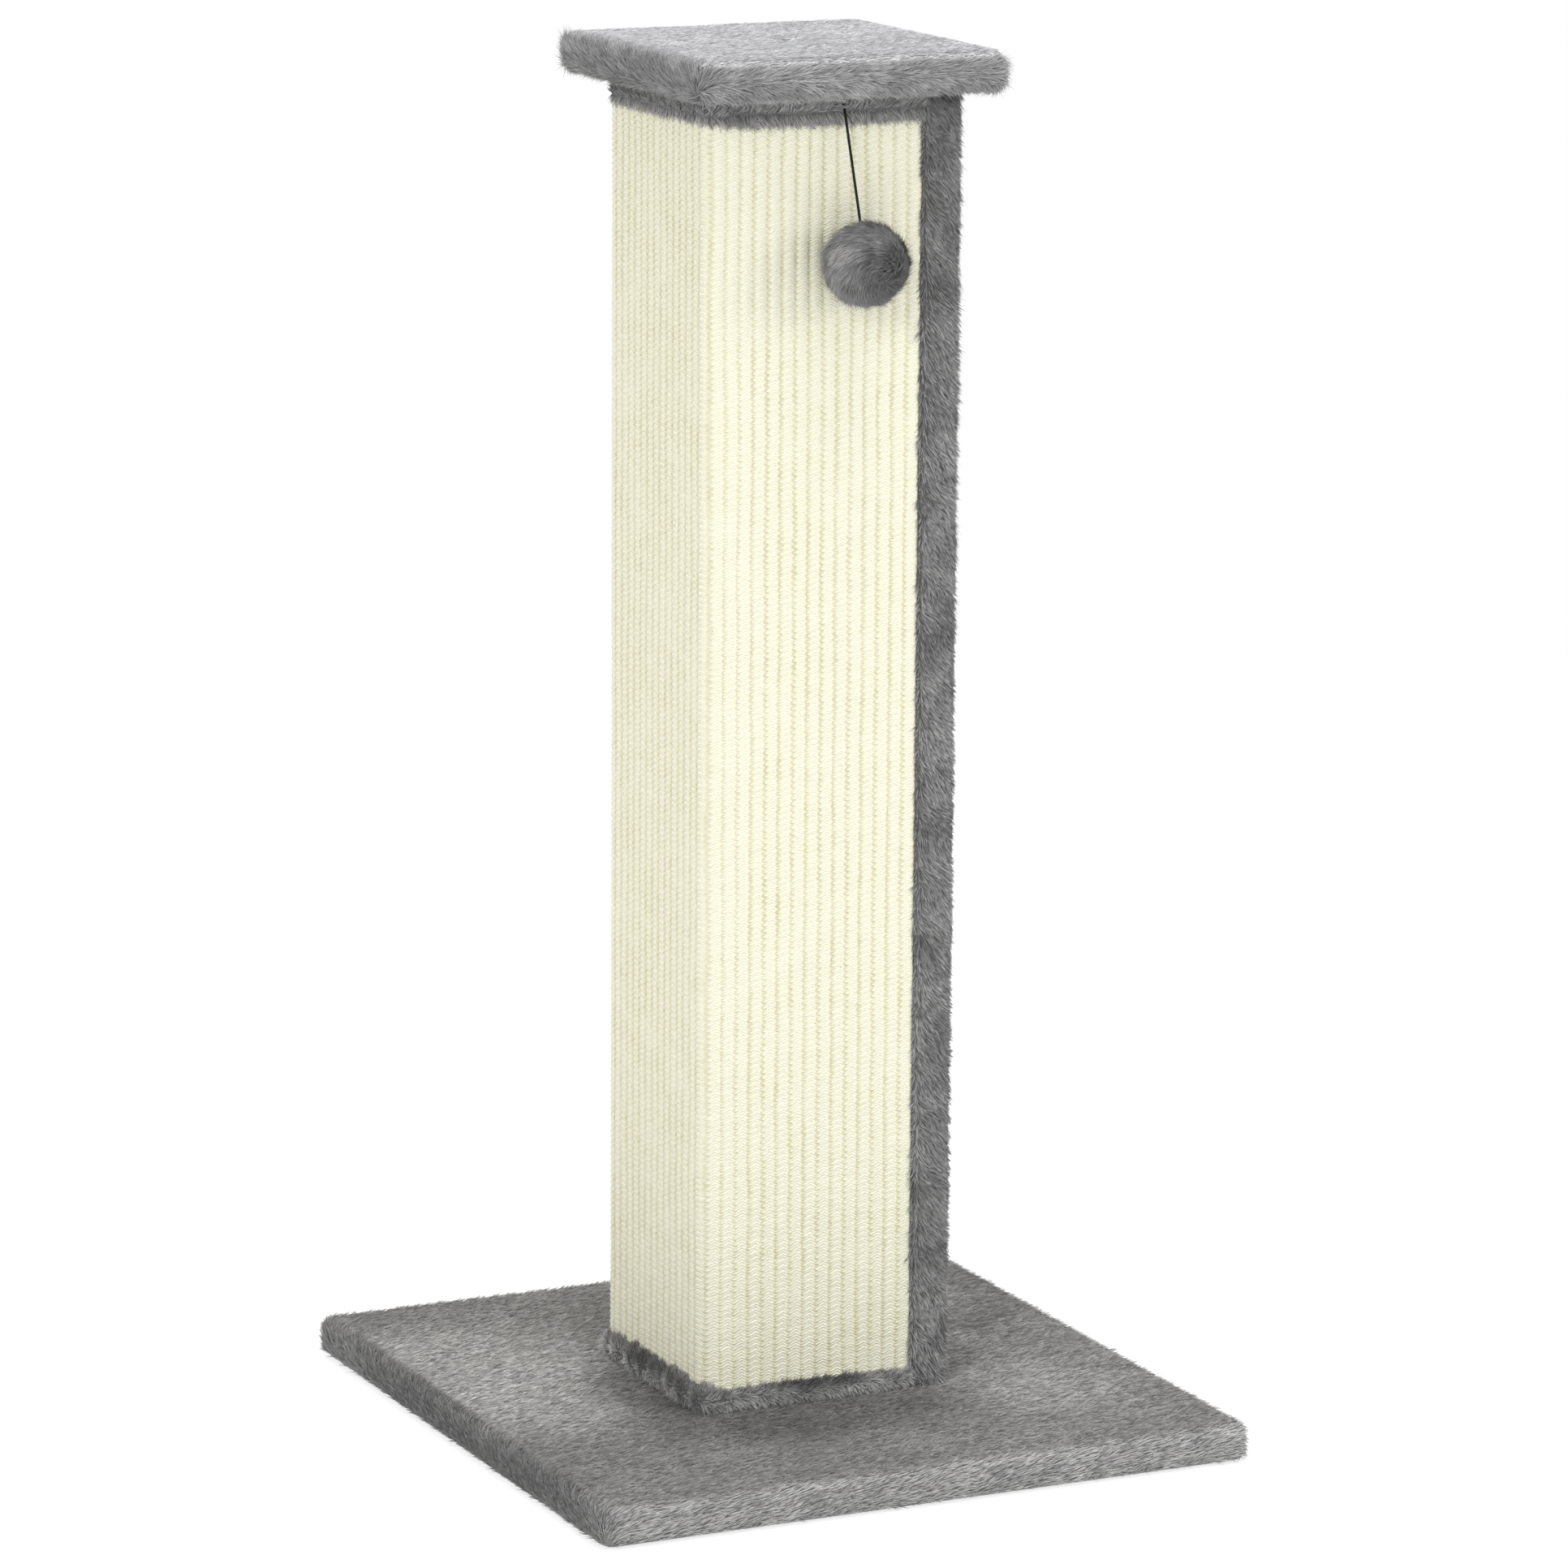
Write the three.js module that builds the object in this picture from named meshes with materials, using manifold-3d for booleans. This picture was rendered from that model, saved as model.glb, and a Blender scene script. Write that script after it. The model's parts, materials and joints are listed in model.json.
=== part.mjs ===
// A square cat scratching post: a plush-covered base, a box post wrapped in ribbed sisal,
// a small plush platform bolted on top and a ball that hangs from the platform on a cord.
// Millimetres. X runs right along the front face, the front looks towards -Y, Z is up,
// and the origin is the middle of the base on the floor.

import * as THREE from "three";
import { mergeVertices } from "three/addons/utils/BufferGeometryUtils.js";
import Module from "manifold-3d";

const wasm = await Module();
wasm.setup();

// ---------------------------------------------------------------- driving dimensions

const GAP = 0.3; // between pieces that touch

const BASE_WIDTH = 398; // over the cloth, without its pile
const BASE_DEPTH = 417;
const BASE_BOARD = 15; // board thickness
const BASE_CLOTH = 3;
const BASE_HEM = 30; // cloth folded under and glued to the board
const BASE_CORNER = 8; // outer corner radius, seen from above
const BASE_EDGE = 3.5; // rounding where the cloth turns over the board

const POST_X = 2.5; // middle of the post, to the right of the middle of the base
const POST_WIDTH = 148.5; // over the wooden panels
const POST_DEPTH = 122.5;
const POST_HEIGHT = 747.5;
const PANEL = 12;
const PLATE = 15; // end plates inside the post
const POST_EDGE = 2.5; // rounding of the post's upright edges

const RIB_PITCH = 8.6;
const SISAL_GROUND = 2.6; // thickness in the grooves
const SISAL_CREST = 4.2; // thickness at the ribs
const SPINE_CLOTH = 4; // plush over the right-hand face
const SPINE_RETURN = 21; // how far it laps on to the front and the back
const SPINE_ROLL = 1.5; // how far its edge is rolled over
const TOP_BAND_HEIGHT = 16;
const TOP_BAND_CLOTH = 3;
const BOTTOM_BAND_HEIGHT = 14;
const BOTTOM_BAND_CLOTH = 5.6;
const BAND_EDGE_CLOTH = 2; // thickness at a band's two long edges

const TOP_SIZE = 187; // square platform, over the cloth
const TOP_BOARD = 15;
const TOP_CLOTH = 3.5;
const TOP_HEM = 40;
const TOP_CORNER = 8;
const TOP_EDGE = 4;
const TOP_BOLT_OPENING = 12.6; // hole in the cloth over the bolt's head

const BOARD_EDGE = 1; // broken edge of every board
const MITRE_SLIT = 0.8; // where two hems meet at a corner

const BOLT = { shank: 6, length: 45, head: 12, land: 0.4, tip: 0.8, socket: 4, socketDepth: 2.4 };
const BOLT_INSET = 16.7; // base bolts, from the edges of the plate inside the post
const NUT = { flange: 19, flangeThickness: 1.5, barrel: 7.8, length: 9 };
const PRONG = { width: 3.2, thickness: 1.2, length: 6, radius: 8.4 };

const WIRE = 1.2; // staple wire
const STAPLE_CROWN = 5.2; // between the middles of its legs
const STAPLE_DEPTH = 8; // how far it is driven into the board
const CORD = 1.5;
const CORD_BEND = 3; // from the corner where the cord turns down to each end of the bend
const TAIL_LEAD = 0.4; // straight, from the bend to the knot
const TAIL = 10.5; // cord that lies along the platform's underside
const TAIL_KNOT = 1.9; // knot radii
const PIVOT_KNOT = 1.9;
const END_KNOT = 2.4;
const TOY_X = 5.2; // where the toy hangs, across the front
const TOY_OUT = 3.5; // its pivot, in front of the sisal
const TOY_DRIFT = 4.8; // how far the ball rests to the right of the pivot
const TOY_DROP = 88.9; // from the pivot to the middle of the ball
const BALL = 23.2; // radius over the cloth, without its pile
const BALL_CLOTH = 3.2;
const KNOT_SEAT = 15; // from the middle of the ball to its knot

const PAST = 1; // how far a cutting shape runs beyond the face that it cuts

// Facets.
const CORNER_STEPS = 4;
const EDGE_STEPS = 3;
const RIB_STEPS = 4;
const BAND_LEVELS = 5;
const ROUND = 24;
const BALL_ROUND = 28;
const CORD_SIDES = 8;
const CORD_STEPS = 18;
const BEND_STEPS = 26;

// ---------------------------------------------------------------- levels and places

const BASE_BOARD_Z = BASE_CLOTH + GAP;
const BASE_TOP = BASE_BOARD_Z + BASE_BOARD + GAP + BASE_CLOTH;
const POST_Z = BASE_TOP + GAP;
const POST_TOP = POST_Z + POST_HEIGHT;
const TOP_Z = POST_TOP + GAP;
const TOP_BOARD_Z = TOP_Z + TOP_CLOTH + GAP;
const TOP_BOARD_TOP = TOP_BOARD_Z + TOP_BOARD;
const CREST_Y = -(POST_DEPTH / 2 + GAP + SISAL_CREST); // front of the sisal's ribs
const BORE = BOLT.shank + 2 * GAP;
const INSIDE_WIDTH = POST_WIDTH - 2 * (PANEL + GAP); // of the plates inside the post
const INSIDE_DEPTH = POST_DEPTH - 2 * (PANEL + GAP);

// The ball rests against the ribs, so the cord leans forward, by the ball's radius less the
// pivot's own distance from them.
const LEAN_X = TOY_DRIFT / TOY_DROP;
const LEAN_Y = -(BALL + GAP - TOY_OUT) / TOY_DROP;
const DOWN = new THREE.Vector3(LEAN_X, LEAN_Y, -Math.sqrt(1 - LEAN_X ** 2 - LEAN_Y ** 2));
const TAIL_Z = TOP_Z - GAP - CORD / 2;
const TAIL_END = PIVOT_KNOT + GAP; // back up the cord from the pivot
const TURN_BACK = TAIL_END + TAIL_LEAD + CORD_BEND;
const PIVOT = new THREE.Vector3(TOY_X, CREST_Y - TOY_OUT, TAIL_Z + TURN_BACK * DOWN.z);
const along = (distance) => PIVOT.clone().addScaledVector(DOWN, distance);
const BALL_CENTRE = along(TOY_DROP);

// ---------------------------------------------------------------- solids

function solidOf(geometry) {
  const bare = geometry.clone();
  bare.deleteAttribute("normal");
  bare.deleteAttribute("uv");
  const merged = mergeVertices(bare, 1e-4);
  return new wasm.Manifold(
    new wasm.Mesh({
      numProp: 3,
      vertProperties: merged.attributes.position.array,
      triVerts: new Uint32Array(merged.index.array),
    }),
  );
}

function geometryOf(solid) {
  const mesh = solid.getMesh();
  const geometry = new THREE.BufferGeometry();
  geometry.setAttribute("position", new THREE.BufferAttribute(mesh.vertProperties, 3));
  geometry.setIndex(new THREE.BufferAttribute(mesh.triVerts, 1));
  geometry.computeVertexNormals();
  return geometry;
}

const cut = (body, tools) =>
  geometryOf(tools.reduce((left, tool) => left.subtract(solidOf(tool)), solidOf(body)));

const join = (pieces) =>
  geometryOf(pieces.slice(1).reduce((sum, piece) => sum.add(solidOf(piece)), solidOf(pieces[0])));

// A closed solid through level rings of points, each anticlockwise seen from above.
function loft(rings) {
  const count = rings[0].length;
  const last = (rings.length - 1) * count;
  const faces = [];
  for (let below = 0; below < last; below += count) {
    for (let i = 0; i < count; i += 1) {
      const j = (i + 1) % count;
      faces.push(below + i, below + j, below + count + j);
      faces.push(below + i, below + count + j, below + count + i);
    }
  }
  const cap = (ring) =>
    THREE.ShapeUtils.triangulateShape(ring.map((p) => new THREE.Vector2(p.x, p.y)), []);
  for (const [a, b, c] of cap(rings[0])) {
    faces.push(a, c, b);
  }
  for (const [a, b, c] of cap(rings.at(-1))) {
    faces.push(last + a, last + b, last + c);
  }
  const geometry = new THREE.BufferGeometry().setFromPoints(rings.flat());
  geometry.setIndex(faces);
  geometry.computeVertexNormals();
  return geometry;
}

// A rectangle with round corners at one level, drawn in by an inset.
function roundedRing(width, depth, corner, inset, z) {
  const radius = Math.max(corner - inset, GAP);
  const ring = [];
  for (let quarter = 0; quarter < 4; quarter += 1) {
    const sideX = quarter === 0 || quarter === 3 ? 1 : -1;
    const sideY = quarter < 2 ? 1 : -1;
    for (let step = 0; step <= CORNER_STEPS; step += 1) {
      const angle = ((quarter + step / CORNER_STEPS) * Math.PI) / 2;
      ring.push(
        new THREE.Vector3(
          sideX * (width / 2 - inset - radius) + radius * Math.cos(angle),
          sideY * (depth / 2 - inset - radius) + radius * Math.sin(angle),
          z,
        ),
      );
    }
  }
  return ring;
}

// A flat board or sheet with round corners and rounded long edges.
function slab(width, depth, bottom, top, corner, edge) {
  const rings = [];
  for (let step = 0; step <= EDGE_STEPS; step += 1) {
    const angle = ((step / EDGE_STEPS) * Math.PI) / 2;
    const inset = edge * (1 - Math.sin(angle));
    const rise = edge * (1 - Math.cos(angle));
    rings.push(roundedRing(width, depth, corner, inset, bottom + rise));
  }
  for (let step = EDGE_STEPS; step >= 0; step -= 1) {
    const angle = ((step / EDGE_STEPS) * Math.PI) / 2;
    const inset = edge * (1 - Math.sin(angle));
    const rise = edge * (1 - Math.cos(angle));
    rings.push(roundedRing(width, depth, corner, inset, top - rise));
  }
  return loft(rings);
}

function cylinder(radius, bottom, top, x = 0, y = 0, sides = ROUND) {
  const geometry = new THREE.CylinderGeometry(radius, radius, top - bottom, sides);
  return geometry.rotateX(Math.PI / 2).translate(x, y, (bottom + top) / 2);
}

function block(width, depth, bottom, top, x = 0, y = 0) {
  return new THREE.BoxGeometry(width, depth, top - bottom).translate(x, y, (bottom + top) / 2);
}

// A solid of revolution about Z from [radius, height] pairs.
function turned(profile, sides = ROUND) {
  const points = profile.map(([radius, height]) => new THREE.Vector2(radius, height));
  return new THREE.LatheGeometry(points, sides).rotateX(Math.PI / 2);
}

// A route of straight runs between corner points, with a smooth bend at each corner.
function bentPath(points, bend) {
  const path = new THREE.CurvePath();
  let from = points[0];
  for (let i = 1; i < points.length - 1; i += 1) {
    const corner = points[i];
    const before = corner.clone().lerp(from, bend / corner.distanceTo(from));
    const after = corner.clone().lerp(points[i + 1], bend / corner.distanceTo(points[i + 1]));
    path.add(new THREE.LineCurve3(from, before));
    path.add(new THREE.QuadraticBezierCurve3(before, corner, after));
    from = after;
  }
  path.add(new THREE.LineCurve3(from, points.at(-1)));
  return path;
}

function tube(path, diameter, steps) {
  const section = new THREE.Shape();
  for (let side = 0; side < CORD_SIDES; side += 1) {
    const angle = (side / CORD_SIDES) * 2 * Math.PI;
    const x = (diameter / 2) * Math.cos(angle);
    const y = (diameter / 2) * Math.sin(angle);
    if (side === 0) {
      section.moveTo(x, y);
    } else {
      section.lineTo(x, y);
    }
  }
  section.closePath();
  return new THREE.ExtrudeGeometry(section, { steps, bevelEnabled: false, extrudePath: path });
}

const sphere = (radius, at) =>
  new THREE.SphereGeometry(radius, ROUND / 2, ROUND / 3).translate(at.x, at.y, at.z);

// ---------------------------------------------------------------- materials and nodes

const material = (color, roughness, metalness = 0) =>
  new THREE.MeshStandardMaterial({ color, roughness, metalness });

const MATERIALS = {
  basePlush: material(0x8a8989, 0.95),
  topPlush: material(0xb4b4b6, 0.95),
  trimPlush: material(0x7d7c7b, 0.95),
  ballPlush: material(0x6c6b6a, 0.95),
  sisal: material(0xeeebdc, 0.9),
  board: material(0xb08a5e, 0.8),
  panel: material(0xb99a70, 0.8),
  steel: material(0xb8bbc0, 0.35, 1),
  cord: material(0x17171a, 0.7),
  wadding: material(0xe8e6e0, 1),
};

function node(name, geometry, look) {
  const mesh = new THREE.Mesh(geometry, look);
  mesh.name = name;
  return mesh;
}

// ---------------------------------------------------------------- boards in their cloth

// Cloth wrapped over a board: the top, the four sides, and a hem glued underneath that meets
// in a mitre at each corner.
function plushCover(size) {
  const { width, depth, bottom, board, cloth, hem, corner, edge } = size;
  const top = bottom + 2 * (cloth + GAP) + board;
  const skin = slab(width, depth, bottom, top, corner, edge);
  const pocket = slab(
    width - 2 * cloth,
    depth - 2 * cloth,
    bottom + cloth,
    top - cloth,
    corner - cloth,
    BOARD_EDGE,
  );
  const opening = block(width - 2 * hem, depth - 2 * hem, bottom - PAST, bottom + cloth + PAST);
  const slits = [];
  for (const [sideX, sideY] of [[1, 1], [-1, 1], [-1, -1], [1, -1]]) {
    const reach = Math.SQRT2 * (hem - corner + PAST);
    const inset = (hem + corner - PAST) / 2;
    const slit = new THREE.BoxGeometry(reach, MITRE_SLIT, cloth + 2 * PAST);
    slit.rotateZ(Math.atan2(sideY, sideX));
    slit.translate(sideX * (width / 2 - inset), sideY * (depth / 2 - inset), bottom + cloth / 2);
    slits.push(slit);
  }
  return cut(skin, [pocket, opening, ...slits]);
}

function coveredBoard(size) {
  const { width, depth, bottom, board, cloth, corner } = size;
  const inset = 2 * (cloth + GAP);
  const z = bottom + cloth + GAP;
  return slab(width - inset, depth - inset, z, z + board, corner - cloth - GAP, BOARD_EDGE);
}

// ---------------------------------------------------------------- bolts and T-nuts

// Countersunk bolt standing on its head.
function boltSolid() {
  const head = BOLT.head / 2;
  const shank = BOLT.shank / 2;
  const body = turned([
    [0, 0],
    [head, 0],
    [head, BOLT.land],
    [shank, BOLT.land + head - shank],
    [shank, BOLT.length - BOLT.tip],
    [shank - BOLT.tip, BOLT.length],
    [0, BOLT.length],
  ]);
  const acrossCorners = BOLT.socket / Math.sqrt(3);
  const socket = cylinder(acrossCorners, -PAST, BOLT.socketDepth, 0, 0, 6);
  return cut(body, [socket]);
}

// The hole that the bolt needs in a board, with its countersink at the lower face.
function boltSeat(board) {
  const head = BOLT.head / 2 + GAP;
  const shank = BORE / 2;
  return turned([
    [0, -PAST],
    [head, -PAST],
    [head, BOLT.land],
    [shank, BOLT.land + head - shank],
    [shank, board + PAST],
    [0, board + PAST],
  ]);
}

// T-nut lying on its flange, its barrel and four prongs pointing up.
function nutSolid() {
  const flange = turned([
    [BORE / 2, 0],
    [NUT.flange / 2, 0],
    [NUT.flange / 2, NUT.flangeThickness],
    [NUT.barrel / 2, NUT.flangeThickness],
    [NUT.barrel / 2, NUT.length],
    [BORE / 2, NUT.length],
    [BORE / 2, 0],
  ]);
  return join([flange, ...prongs(0)]);
}

function prongs(clearance) {
  const made = [];
  for (let quarter = 0; quarter < 4; quarter += 1) {
    const top = NUT.flangeThickness + PRONG.length + clearance;
    const prong = block(
      PRONG.thickness + 2 * clearance,
      PRONG.width + 2 * clearance,
      NUT.flangeThickness / 2,
      top,
      PRONG.radius,
    );
    made.push(prong.rotateZ((quarter * Math.PI) / 2));
  }
  return made;
}

// What a T-nut needs cut from its plate, seen from the flange's side at level 0.
function nutSeat() {
  const hole = cylinder(NUT.barrel / 2 + GAP, -PAST, PLATE + PAST);
  const drop = -(NUT.flangeThickness + GAP);
  return [hole, ...prongs(GAP).map((prong) => prong.translate(0, 0, drop))];
}

// ---------------------------------------------------------------- wrapping of the post

// The post's outline, walked anticlockwise from the middle of the right-hand face. Distances
// are measured at a given height above the panels, so that ribs keep their pitch at a corner.
function outlineAt(offset) {
  const halfX = POST_WIDTH / 2 + GAP;
  const halfY = POST_DEPTH / 2 + GAP;
  const radius = POST_EDGE + GAP;
  const flatX = halfX - radius;
  const flatY = halfY - radius;
  const arc = ((radius + offset) * Math.PI) / 2;
  const runs = [];
  const addLine = (length, startX, startY, angle) =>
    runs.push({ length, at: (d, lift) => {
      const normal = [Math.cos(angle), Math.sin(angle)];
      return [startX - normal[1] * d + normal[0] * lift, startY + normal[0] * d + normal[1] * lift];
    } });
  const addArc = (centreX, centreY, angle) =>
    runs.push({ length: arc, round: true, at: (d, lift) => {
      const turn = angle + ((d / arc) * Math.PI) / 2;
      const reach = radius + lift;
      return [centreX + reach * Math.cos(turn), centreY + reach * Math.sin(turn)];
    } });
  addLine(flatY, halfX, 0, 0);
  addArc(flatX, flatY, 0);
  addLine(2 * flatX, flatX, halfY, Math.PI / 2);
  addArc(-flatX, flatY, Math.PI / 2);
  addLine(2 * flatY, -halfX, flatY, Math.PI);
  addArc(-flatX, -flatY, Math.PI);
  addLine(2 * flatX, -flatX, -halfY, 1.5 * Math.PI);
  addArc(flatX, -flatY, 1.5 * Math.PI);
  addLine(flatY, halfX, -flatY, 0);
  const length = runs.reduce((sum, run) => sum + run.length, 0);
  const seam = flatY + arc + SPINE_RETURN - radius;

  function pointAt(distance, lift, z) {
    let left = (distance + length) % length;
    const run = runs.find((candidate) => {
      const inside = left <= candidate.length;
      left -= inside ? 0 : candidate.length;
      return inside;
    }) ?? runs.at(-1);
    const [x, y] = run.at(left, lift);
    return new THREE.Vector3(x, y, z);
  }

  // Distances where the outline starts or stops bending, with steps round each bend.
  function stations(from, to) {
    const found = [from, to];
    for (const lap of [-length, 0]) {
      let start = lap;
      for (const run of runs) {
        const steps = run.round ? CORNER_STEPS : 1;
        for (let step = 0; step < steps; step += 1) {
          found.push(start + (run.length * step) / steps);
        }
        start += run.length;
      }
    }
    const kept = found.filter((distance) => distance >= from && distance <= to);
    return [...new Set(kept)].sort((a, b) => a - b);
  }

  return { length, seam, pointAt, stations };
}

// A sheet round part of the outline. Each level gives its height and the sheet's thickness
// at any distance, and the sheet's back lies on the panels.
function wrapped(outline, from, to, distances, levels) {
  const backs = outline.stations(from, to).reverse();
  return loft(
    levels.map(([z, lift]) => [
      ...distances.map((distance) => outline.pointAt(distance, lift(distance), z)),
      ...backs.map((distance) => outline.pointAt(distance, 0, z)),
    ]),
  );
}

// Ribbed sisal over the front, the left and the back: one section, with a whole number of
// ribs from seam to seam, that turns both left-hand corners.
function sisalWrap() {
  const outline = outlineAt(SISAL_GROUND);
  const from = outline.seam + GAP;
  const to = outline.length - outline.seam - GAP;
  const ribs = Math.round((to - from) / RIB_PITCH);
  const count = ribs * RIB_STEPS;
  const distances = Array.from({ length: count + 1 }, (_, i) => from + ((to - from) * i) / count);
  const lift = (distance) => {
    const share = ((distance - from) / (to - from)) * ribs;
    return SISAL_GROUND + (SISAL_CREST - SISAL_GROUND) * Math.abs(Math.sin(Math.PI * share));
  };
  const bottom = POST_Z + BOTTOM_BAND_HEIGHT + GAP;
  const top = POST_TOP - TOP_BAND_HEIGHT - GAP;
  return wrapped(outline, from, to, distances, [[bottom, lift], [top, lift]]);
}

// Plush over the right-hand face, lapping on to the front and the back.
function plushSpine() {
  const outline = outlineAt(0);
  const from = -outline.seam;
  const to = outline.seam;
  const distances = outline.stations(from, to);
  distances.splice(1, 0, from + SPINE_ROLL);
  distances.splice(-1, 0, to - SPINE_ROLL);
  const lift = (distance) => (distance === from || distance === to ? SPINE_CLOTH / 2 : SPINE_CLOTH);
  return wrapped(outline, from, to, distances, [[POST_Z, lift], [POST_TOP, lift]]);
}

// A narrow rolled strip of plush from seam to seam, thickest half way up.
function plushBand(bottom, height, cloth) {
  const outline = outlineAt(0);
  const from = outline.seam + GAP;
  const to = outline.length - outline.seam - GAP;
  const levels = Array.from({ length: BAND_LEVELS }, (_, i) => {
    const share = i / (BAND_LEVELS - 1);
    const thickness = BAND_EDGE_CLOTH + (cloth - BAND_EDGE_CLOTH) * Math.sin(Math.PI * share);
    return [bottom + height * share, () => thickness];
  });
  return wrapped(outline, from, to, outline.stations(from, to), levels);
}

// ---------------------------------------------------------------- base

const BASE = {
  width: BASE_WIDTH,
  depth: BASE_DEPTH,
  bottom: 0,
  board: BASE_BOARD,
  cloth: BASE_CLOTH,
  hem: BASE_HEM,
  corner: BASE_CORNER,
  edge: BASE_EDGE,
};
const BOLT_PLACES = [[1, -1], [1, 1], [-1, 1], [-1, -1]].map(([sideX, sideY]) => [
  sideX * (INSIDE_WIDTH / 2 - BOLT_INSET),
  sideY * (INSIDE_DEPTH / 2 - BOLT_INSET),
]);

function makeBase() {
  const group = new THREE.Group();
  const places = BOLT_PLACES.map(([x, y]) => [POST_X + x, y]);
  const seats = places.map(([x, y]) => boltSeat(BASE_BOARD).translate(x, y, BASE_BOARD_Z));
  group.add(node("base_board", cut(coveredBoard(BASE), seats), MATERIALS.board));
  const holes = places.map(([x, y]) =>
    cylinder(BORE / 2, BASE_BOARD_Z + BASE_BOARD / 2, BASE_TOP + PAST, x, y),
  );
  group.add(node("base_plush_cover", cut(plushCover(BASE), holes), MATERIALS.basePlush));
  places.forEach(([x, y], i) => {
    const bolt = node(`base_bolt_${i + 1}`, boltSolid(), MATERIALS.steel);
    bolt.position.set(x, y, BASE_BOARD_Z);
    group.add(bolt);
  });
  return group;
}

// ---------------------------------------------------------------- post

// A left or right panel, which stands between the front and the back one.
function sidePanel(x) {
  return block(PANEL, INSIDE_DEPTH, POST_Z, POST_TOP, x, 0);
}

// A front or back panel: full width, with its two outer upright edges rounded.
function facePanel(side) {
  const whole = loft(
    [POST_Z, POST_TOP].map((z) => roundedRing(POST_WIDTH, POST_DEPTH, POST_EDGE, 0, z)),
  );
  const rest = block(
    POST_WIDTH + 2 * PAST,
    POST_DEPTH,
    POST_Z - PAST,
    POST_TOP + PAST,
    0,
    -side * PANEL,
  );
  return cut(whole, [rest]);
}

function makePost() {
  const group = new THREE.Group();
  group.position.x = POST_X;
  group.add(node("post_panel_front", facePanel(-1), MATERIALS.panel));
  group.add(node("post_panel_back", facePanel(1), MATERIALS.panel));
  const sideX = (POST_WIDTH - PANEL) / 2;
  group.add(node("post_panel_left", sidePanel(-sideX), MATERIALS.panel));
  group.add(node("post_panel_right", sidePanel(sideX), MATERIALS.panel));

  const plate = block(INSIDE_WIDTH, INSIDE_DEPTH, 0, PLATE);
  const bottomSeats = BOLT_PLACES.flatMap(([x, y]) =>
    nutSeat().map((tool) => tool.rotateX(Math.PI).translate(x, y, PLATE)),
  );
  const bottomPlate = node("post_bottom_plate", cut(plate, bottomSeats), MATERIALS.board);
  bottomPlate.position.z = POST_Z;
  group.add(bottomPlate);
  BOLT_PLACES.forEach(([x, y], i) => {
    const nut = node(`base_t_nut_${i + 1}`, nutSolid(), MATERIALS.steel);
    nut.rotation.x = Math.PI;
    nut.position.set(x, y, POST_Z + PLATE + GAP + NUT.flangeThickness);
    group.add(nut);
  });

  const topPlate = node("post_top_plate", cut(plate, nutSeat()), MATERIALS.board);
  topPlate.position.z = POST_TOP - PLATE;
  group.add(topPlate);
  const topNut = node("top_t_nut", nutSolid(), MATERIALS.steel);
  topNut.position.z = POST_TOP - PLATE - GAP - NUT.flangeThickness;
  group.add(topNut);

  group.add(node("sisal_wrap", sisalWrap(), MATERIALS.sisal));
  group.add(node("plush_spine", plushSpine(), MATERIALS.trimPlush));
  const topBand = plushBand(POST_TOP - TOP_BAND_HEIGHT, TOP_BAND_HEIGHT, TOP_BAND_CLOTH);
  group.add(node("top_band", topBand, MATERIALS.trimPlush));
  const bottomBand = plushBand(POST_Z, BOTTOM_BAND_HEIGHT, BOTTOM_BAND_CLOTH);
  group.add(node("bottom_band", bottomBand, MATERIALS.trimPlush));
  return group;
}

// ---------------------------------------------------------------- platform

const PLATFORM = {
  width: TOP_SIZE,
  depth: TOP_SIZE,
  bottom: TOP_Z,
  board: TOP_BOARD,
  cloth: TOP_CLOTH,
  hem: TOP_HEM,
  corner: TOP_CORNER,
  edge: TOP_EDGE,
};
// The cord's tail turns down at this point, and the staple crosses it a little way back.
const TURN = along(-TURN_BACK);
const STAPLE_X = TURN.x - CORD_BEND - TAIL / 2;
const STAPLE_LEGS = [-1, 1].map((side) => TURN.y + (side * STAPLE_CROWN) / 2);
const STAPLE_Z = TAIL_Z - CORD / 2 - GAP - WIRE / 2;
const STAPLE_TOP = TOP_BOARD_Z + STAPLE_DEPTH;

function makePlatform() {
  const group = new THREE.Group();
  const legHoles = STAPLE_LEGS.map((y) =>
    cylinder(WIRE / 2 + GAP, TOP_Z - PAST, STAPLE_TOP + GAP, STAPLE_X, y, CORD_SIDES),
  );
  const seat = boltSeat(TOP_BOARD).rotateX(Math.PI).translate(POST_X, 0, TOP_BOARD_TOP);
  group.add(node("top_board", cut(coveredBoard(PLATFORM), [seat, ...legHoles]), MATERIALS.board));
  const above = TOP_BOARD_TOP + TOP_CLOTH + PAST;
  const opening = cylinder(TOP_BOLT_OPENING / 2, TOP_BOARD_TOP - PAST, above, POST_X);
  const cover = cut(plushCover(PLATFORM), [opening, ...legHoles]);
  group.add(node("top_plush_cover", cover, MATERIALS.topPlush));
  const bolt = node("top_bolt", boltSolid(), MATERIALS.steel);
  bolt.rotation.x = Math.PI;
  bolt.position.set(POST_X, 0, TOP_BOARD_TOP);
  group.add(bolt);
  return group;
}

// ---------------------------------------------------------------- hanging ball

// The cord is one length: a tail under the platform, held by a staple and stopped by a knot,
// a knot at the point that it swings from, the free stretch, and a knot inside the ball.
function cordTail() {
  const end = along(-TAIL_END);
  const start = TURN.clone().add(new THREE.Vector3(-TAIL - CORD_BEND, 0, 0));
  const knotAt = start.clone();
  knotAt.z = TOP_Z - GAP - TAIL_KNOT;
  const tail = tube(bentPath([start, TURN, end], CORD_BEND), CORD, BEND_STEPS);
  return join([tail, sphere(TAIL_KNOT, knotAt)]);
}

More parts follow.
